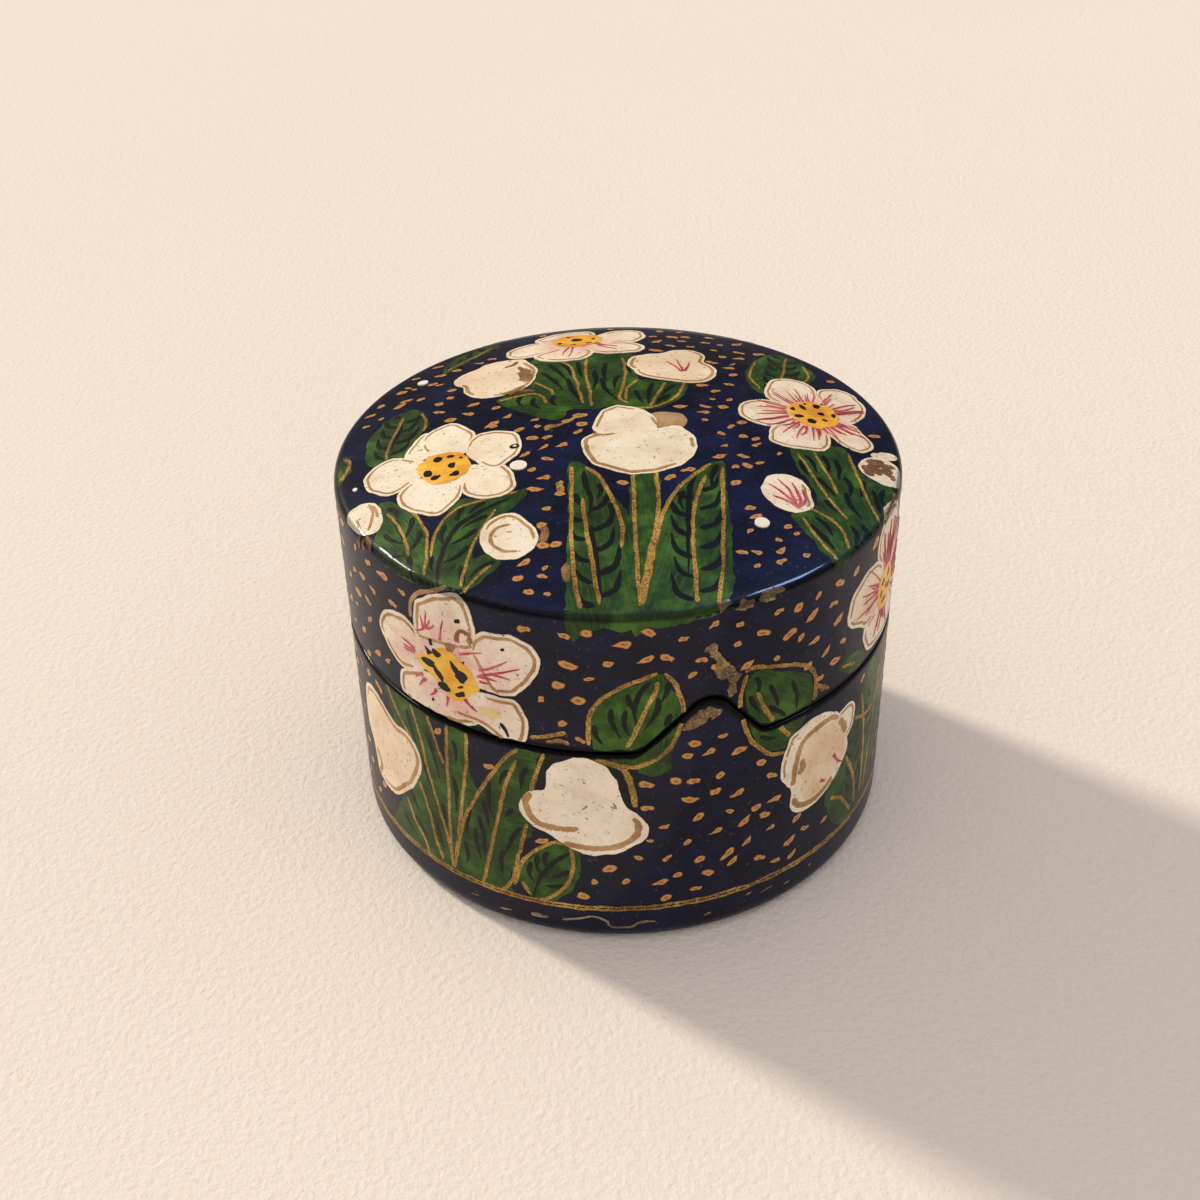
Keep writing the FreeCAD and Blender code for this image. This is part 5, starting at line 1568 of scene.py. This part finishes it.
def shoulderShadeOn(tree, place, colour, share):
    # Painted shade: a dark line along the shoulder, where the lid's top turns into its wall
    cloud = noiseOn(tree, place, *lacquer["shoulderShadeNoise"])
    wander = calculate(tree, "MULTIPLY_ADD", cloud, lacquer["shoulderShadeWander"], heightOn(tree, place))
    foot, top = (lacquer[name] + lacquer["shoulderShadeWander"] / 2 for name in ("shoulderShadeFoot", "shoulderShadeTop"))
    below = stepOn(tree, wander, foot - 0.0003, foot)
    above = stepOn(tree, wander, top + 0.0002, top)
    return layOver(tree, colour, lacquer["black"], calculate(tree, "MULTIPLY", below, above), share)


def makeLacquer():
    material, tree, shader, place = newFinish("paintedLacquer")
    deep, middle, bright = (lacquer[name] for name in ("deep", "middle", "bright"))
    colour = rampOn(tree, noiseOn(tree, place, *lacquer["cloud"]), (0.28, deep), (0.50, middle), (0.76, bright))
    # Painted shade: the wall below the shoulder is laid over with a duller, greyer navy than the top
    shadedWall = stepOn(tree, heightOn(tree, place), lacquer["shoulderShadeTop"], lacquer["shoulderShadeFoot"])
    colour = layOver(tree, colour, lacquer["wallShadeTone"], shadedWall, lacquer["wallShadeShare"])
    strokes = noiseOn(tree, place, *lacquer["brush"], stretch=lacquer["brushStretch"])
    colour = layOver(tree, colour, deep, stepOn(tree, strokes, 0.52, 0.72), 0.55)
    colour = layOver(tree, colour, bright, stepOn(tree, strokes, 0.46, 0.30), 0.30)
    specks = stepOn(tree, noiseOn(tree, place, *lacquer["specks"]), 0.66, 0.74)
    colour = layOver(tree, colour, lacquer["rubbed"], specks, 0.5)
    gap = addNode(tree, "ShaderNodeAttribute", {}, attribute_name="seamGap").outputs["Fac"]
    ragged = calculate(tree, "MULTIPLY_ADD", noiseOn(tree, place, *lacquer["ragged"]), 0.9, gap)
    colour = layOver(tree, colour, lacquer["black"], stepOn(tree, ragged, *lacquer["seamBlack"]))
    # Painted shade line along the shoulder
    colour = shoulderShadeOn(tree, place, colour, 0.75)
    setSurface(tree, shader, colour, **lacquer["surface"])
    relief = calculate(tree, "MULTIPLY_ADD", strokes, 0.25, noiseOn(tree, place, *lacquer["relief"]))
    bumpFrom(tree, shader, relief, 0.35, 0.0005)
    return material


def makeBlackLacquer(name, dark, light, surface):
    material, tree, shader, place = newFinish(name)
    colour = rampOn(tree, noiseOn(tree, place, 90, 4), (0.35, dark), (0.7, light))
    setSurface(tree, shader, colour, **surface)
    bumpFrom(tree, shader, noiseOn(tree, place, 420, 4), 0.25, 0.0005)
    return material


# What every paint shares: the colours of age and of the grains in gold leaf with their painted glints, and its noises
paintwork = {
    "specular": 0.1,
    "coatRoughness": 0.04,
    "grainDark": (70, 50, 26),
    # Painted glints on the grains
    "grainGlint": (240, 204, 118),
    "crack": (150, 116, 88),
    "crackScale": 620,
    "speck": (64, 48, 38),
    "stain": (176, 144, 112),
    "patches": (210, 4, 0.62),
    "brush": (1.0, 4, 0.65),
    "brushStretch": (0.35, 2.6, 0.0),
    "brokenBlush": (260, 3, 0.6),
    "grains": (3300, 3, 0.7),
    "crackedPlaces": (300, 3, 0.6),
    "specks": (1700, 2, 0.6),
    "stains": (420, 5, 0.7),
}


def makePaint(name, tones, streak, speckle=0.0, blush=None, grain=0.0, roughness=0.5, coat=0.28):
    # Brushed paint under varnish: patches, streaks along the brush, specks, and a blush towards a flower's heart
    material, tree, shader, place = newFinish(name)
    dark, middle, light = tones
    brush, fromHeart = brushOn(tree)
    colour = rampOn(tree, noiseOn(tree, place, *paintwork["patches"]), (0.32, dark), (0.50, middle), (0.66, light))
    lines = noiseOn(tree, brush, *paintwork["brush"], stretch=paintwork["brushStretch"])
    colour = layOver(tree, colour, light, stepOn(tree, lines, 0.50, 0.70), streak)
    colour = layOver(tree, colour, dark, stepOn(tree, lines, 0.48, 0.30), streak)
    if blush:
        broken = stepOn(tree, noiseOn(tree, place, *paintwork["brokenBlush"]), 0.36, 0.62)
        inner = calculate(tree, "MULTIPLY", stepOn(tree, fromHeart, 0.78, 0.30), broken)
        colour = layOver(tree, colour, blush, inner, 0.75)
    if grain:
        # Dark gaps between the grains, and painted glints on a few of them
        fleck = noiseOn(tree, place, *paintwork["grains"])
        colour = layOver(tree, colour, paintwork["grainDark"], stepOn(tree, fleck, 0.50, 0.62), grain)
        colour = layOver(tree, colour, paintwork["grainGlint"], stepOn(tree, fleck, 0.40, 0.30), grain)
    if speckle:
        # Hair cracks, fine dark specks, and soft stains where the varnish has browned
        inputs = {"Scale": paintwork["crackScale"], "Randomness": 1.0, "Vector": place}
        crack = addNode(tree, "ShaderNodeTexVoronoi", inputs, feature="DISTANCE_TO_EDGE")
        hair = calculate(tree, "MULTIPLY", stepOn(tree, crack.outputs["Distance"], 0.05, 0.0),
                         stepOn(tree, noiseOn(tree, place, *paintwork["crackedPlaces"]), 0.50, 0.66))
        dots = stepOn(tree, noiseOn(tree, place, *paintwork["specks"]), 0.64, 0.72)
        stain = stepOn(tree, noiseOn(tree, place, *paintwork["stains"]), 0.58, 0.72)
        for other, share, part in (("crack", hair, 0.4), ("speck", dots, 1.0), ("stain", stain, 0.5)):
            colour = layOver(tree, colour, paintwork[other], share, speckle * part)
    # The painted shade line along the shoulder runs over the paint too
    colour = shoulderShadeOn(tree, place, colour, 0.6)
    setSurface(tree, shader, colour, roughness, paintwork["specular"], coat, paintwork["coatRoughness"])
    bumpFrom(tree, shader, lines, 0.4, 0.00025)
    return material


def makeDabGilt():
    # Brown size in the middle, leaf towards the rim, and a dark edge where it runs thin
    material, tree, shader, place = newFinish("dabGilt")
    rimShare = brushOn(tree)[1]
    share = calculate(tree, "MULTIPLY_ADD", noiseOn(tree, place, 1100, 4, 0.65), 0.9, rimShare)
    colour = rampOn(tree, stepOn(tree, share, 0.35, 1.55), (0.0, (104, 70, 42)), (0.28, (162, 108, 54)),
                    (0.62, (210, 150, 80)), (0.80, (184, 128, 64)), (0.94, (72, 50, 36)))
    setSurface(tree, shader, colour, 0.45, 0.2, 0.4, 0.10)
    bumpFrom(tree, shader, noiseOn(tree, place, 1500, 3), 0.4, 0.00025)
    return material


# Every paint: its slot, its dark, middle and light tones, and how streaked, aged or grainy it is
paints = {
    "leafGreen": ("leaf_paint", ((22, 44, 11), (38, 71, 19), (68, 108, 33)), {"streak": 0.5}),
    "veinBlack": ("detail_paint", ((6, 9, 8), (9, 15, 12), (14, 22, 16)), {"streak": 0.2, "coat": 0.3}),
    "giltPaint": ("gold_paint", ((114, 82, 30), (162, 124, 56), (206, 166, 86)),
                  {"streak": 0.4, "grain": 0.85, "roughness": 0.45}),
    "outlineTan": ("gold_paint", ((148, 112, 70), (178, 140, 94), (200, 164, 116)), {"streak": 0.4, "grain": 0.3}),
    "petalCream": ("flower_paint", ((229, 211, 186), (245, 232, 213), (251, 242, 228)),
                   {"streak": 0.45, "speckle": 0.8}),
    "petalRose": ("flower_paint", ((226, 205, 184), (243, 228, 209), (250, 240, 226)),
                  {"streak": 0.45, "speckle": 0.8, "blush": (232, 160, 150)}),
    "petalBlush": ("flower_paint", ((224, 200, 170), (240, 220, 194), (248, 235, 216)),
                   {"streak": 0.5, "speckle": 0.8, "blush": (232, 204, 176)}),
    "petalPeach": ("flower_paint", ((226, 188, 150), (238, 210, 180), (244, 224, 200)),
                   {"streak": 0.45, "speckle": 0.7}),
    "tanBud": ("flower_paint", ((140, 108, 72), (172, 138, 98), (198, 166, 124)), {"streak": 0.5, "speckle": 0.8}),
    "crimsonPaint": ("detail_paint", ((150, 34, 54), (188, 64, 82), (214, 120, 126)), {"streak": 0.5}),
    "heartYellow": ("gold_paint", ((214, 138, 34), (242, 178, 54), (250, 206, 92)), {"streak": 0.5}),
    "seedBlack": ("detail_paint", ((12, 12, 10), (20, 20, 16), (34, 30, 22)), {"streak": 0.2}),
    "rubbedBrown": ("detail_paint", ((96, 62, 38), (136, 96, 64), (174, 136, 98)), {"streak": 0.5, "grain": 0.5}),
    "scratchedTan": ("gold_paint", ((84, 72, 62), (128, 110, 88), (176, 156, 128)), {"streak": 0.5, "grain": 0.5}),
    "washYellow": ("flower_paint", ((222, 196, 140), (230, 208, 156), (238, 220, 176)),
                   {"streak": 0.4, "speckle": 0.4}),
    "dotWhite": ("flower_paint", ((236, 228, 214), (246, 240, 230), (250, 246, 240)), {"streak": 0.3}),
    "bareBoard": ("detail_paint", ((62, 54, 46), (128, 108, 78), (172, 150, 112)),
                  {"streak": 0.6, "grain": 0.7, "roughness": 0.7, "coat": 0.2}),
}

finishes = {name: makePaint(name, tones, **values) for name, (_, tones, values) in paints.items()}
finishes["dabGilt"] = makeDabGilt()
finishSlots = {name: slot for name, (slot, _, _) in paints.items()}
finishSlots["dabGilt"] = "gold_paint"

lacquerFinish = makeLacquer()
blackFinish = makeBlackLacquer("blackLacquer", (9, 9, 11), (24, 22, 24),
                               {"roughness": 0.38, "specular": 0.5, "coat": 0.5, "coatRoughness": 0.15})
seamFinish = makeBlackLacquer("seamBlack", (4, 4, 5), (9, 8, 10),
                              {"roughness": 0.5, "specular": 0.04, "coat": 0.14, "coatRoughness": 0.05})

lidBoards = makeLidBoards([lacquerFinish, blackFinish, seamFinish])
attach(lidBoards, "lid")
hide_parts("lid_crown", "lid_wall")
baseBoards = makeBaseBoards([lacquerFinish, blackFinish, seamFinish])
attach(baseBoards, "base")
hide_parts("base_wall", "base_floor")
collar = makeCollar([blackFinish])
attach(collar, "base")
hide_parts("seat_collar")
print("boards made")


def makePaintPieces():
    for (body, finish), store in sorted(gathered.items()):
        name = f"{body}{finish[0].upper()}{finish[1:]}"
        mesh = bpy.data.meshes.new(name)
        mesh.from_pydata([(x * mm, y * mm, z * mm) for x, y, z in store["points"]], [], store["faces"])
        mesh.materials.append(finishes[finish])
        values = [value for stroke in store["brush"] for value in stroke]
        mesh.attributes.new("brush", "FLOAT_VECTOR", "POINT").data.foreach_set("vector", values)
        mesh.shade_smooth()
        mesh.set_sharp_from_angle(angle=math.radians(50))
        piece = addObject(name, mesh)
        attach(piece, body)
        print(name, len(store["faces"]), "faces")


makePaintPieces()


def setFloor():
    mesh = bpy.data.meshes.new("studioFloor")
    reach = studio["floorReach"]
    mesh.from_pydata([(-reach, -reach, 0), (reach, -reach, 0), (reach, reach, 0), (-reach, reach, 0)], [],
                     [(0, 1, 2, 3)])
    material, tree, shader, place = newFinish("floorPaper")
    red, green, blue = studio["floorColour"]
    colour = rampOn(tree, noiseOn(tree, place, 3.0, 2), (0.3, (red - 4, green - 4, blue - 5)),
                    (0.7, (red, green, blue)))
    setSurface(tree, shader, colour, 0.95, 0.1)
    bumpFrom(tree, shader, noiseOn(tree, place, studio["paperScale"], 4, 0.6), studio["paperBump"], 0.0005)
    mesh.materials.append(material)
    floor = addObject("studioFloor", mesh)


def addLamp(name, kind, towards):
    lamp = bpy.data.lights.new(f"{name}Lamp", kind)
    lamp.color = paintColour(*studio[f"{name}Colour"])[:3]
    holder = addObject(f"{name}Lamp", lamp)
    holder.rotation_euler = towards.to_track_quat("-Z", "Y").to_euler()
    return lamp, holder


def setLamps():
    for name in ("key", "front"):
        lamp, _ = addLamp(name, "SUN", Vector(studio[f"{name}Towards"]))
        lamp.energy = studio[f"{name}Strength"]
        lamp.angle = math.radians(studio[f"{name}Angle"])
    # Two soft boxes that show only in the varnish: a blue line on the right of the shoulder, a white one on the left
    for name in ("sky", "strip"):
        place = Vector(studio[f"{name}Place"])
        lamp, holder = addLamp(name, "AREA", -place)
        lamp.energy = studio[f"{name}Power"]
        lamp.shape = "RECTANGLE"
        lamp.size, lamp.size_y = studio[f"{name}Size"]
        holder.location = place
        holder.visible_diffuse = False


def setWorld():
    world = bpy.data.worlds.new("studioWorld")
    bpy.context.scene.world = world
    world.use_nodes = True
    tree = world.node_tree
    fill = paintColour(*studio["fillColour"])
    background = tree.nodes["Background"]
    background.inputs["Color"].default_value = fill
    background.inputs["Strength"].default_value = studio["fillStrength"]
    gloss = addNode(tree, "ShaderNodeBackground", {"Color": fill, "Strength": studio["glossStrength"]})
    # What lies beyond the floor looks like more of it
    beyond = addNode(tree, "ShaderNodeBackground", {"Color": paintColour(*studio["beyondColour"])})
    path = tree.nodes.new("ShaderNodeLightPath")
    shown = background.outputs["Background"]
    for ray, other in (("Is Glossy Ray", gloss), ("Is Camera Ray", beyond)):
        inputs = {"Fac": path.outputs[ray], 1: shown, 2: other.outputs["Background"]}
        shown = addNode(tree, "ShaderNodeMixShader", inputs).outputs["Shader"]
    tree.links.new(shown, tree.nodes["World Output"].inputs["Surface"])


setFloor()
setLamps()
setWorld()
bpy.context.scene.view_settings.view_transform = "Standard"
print("studio set")
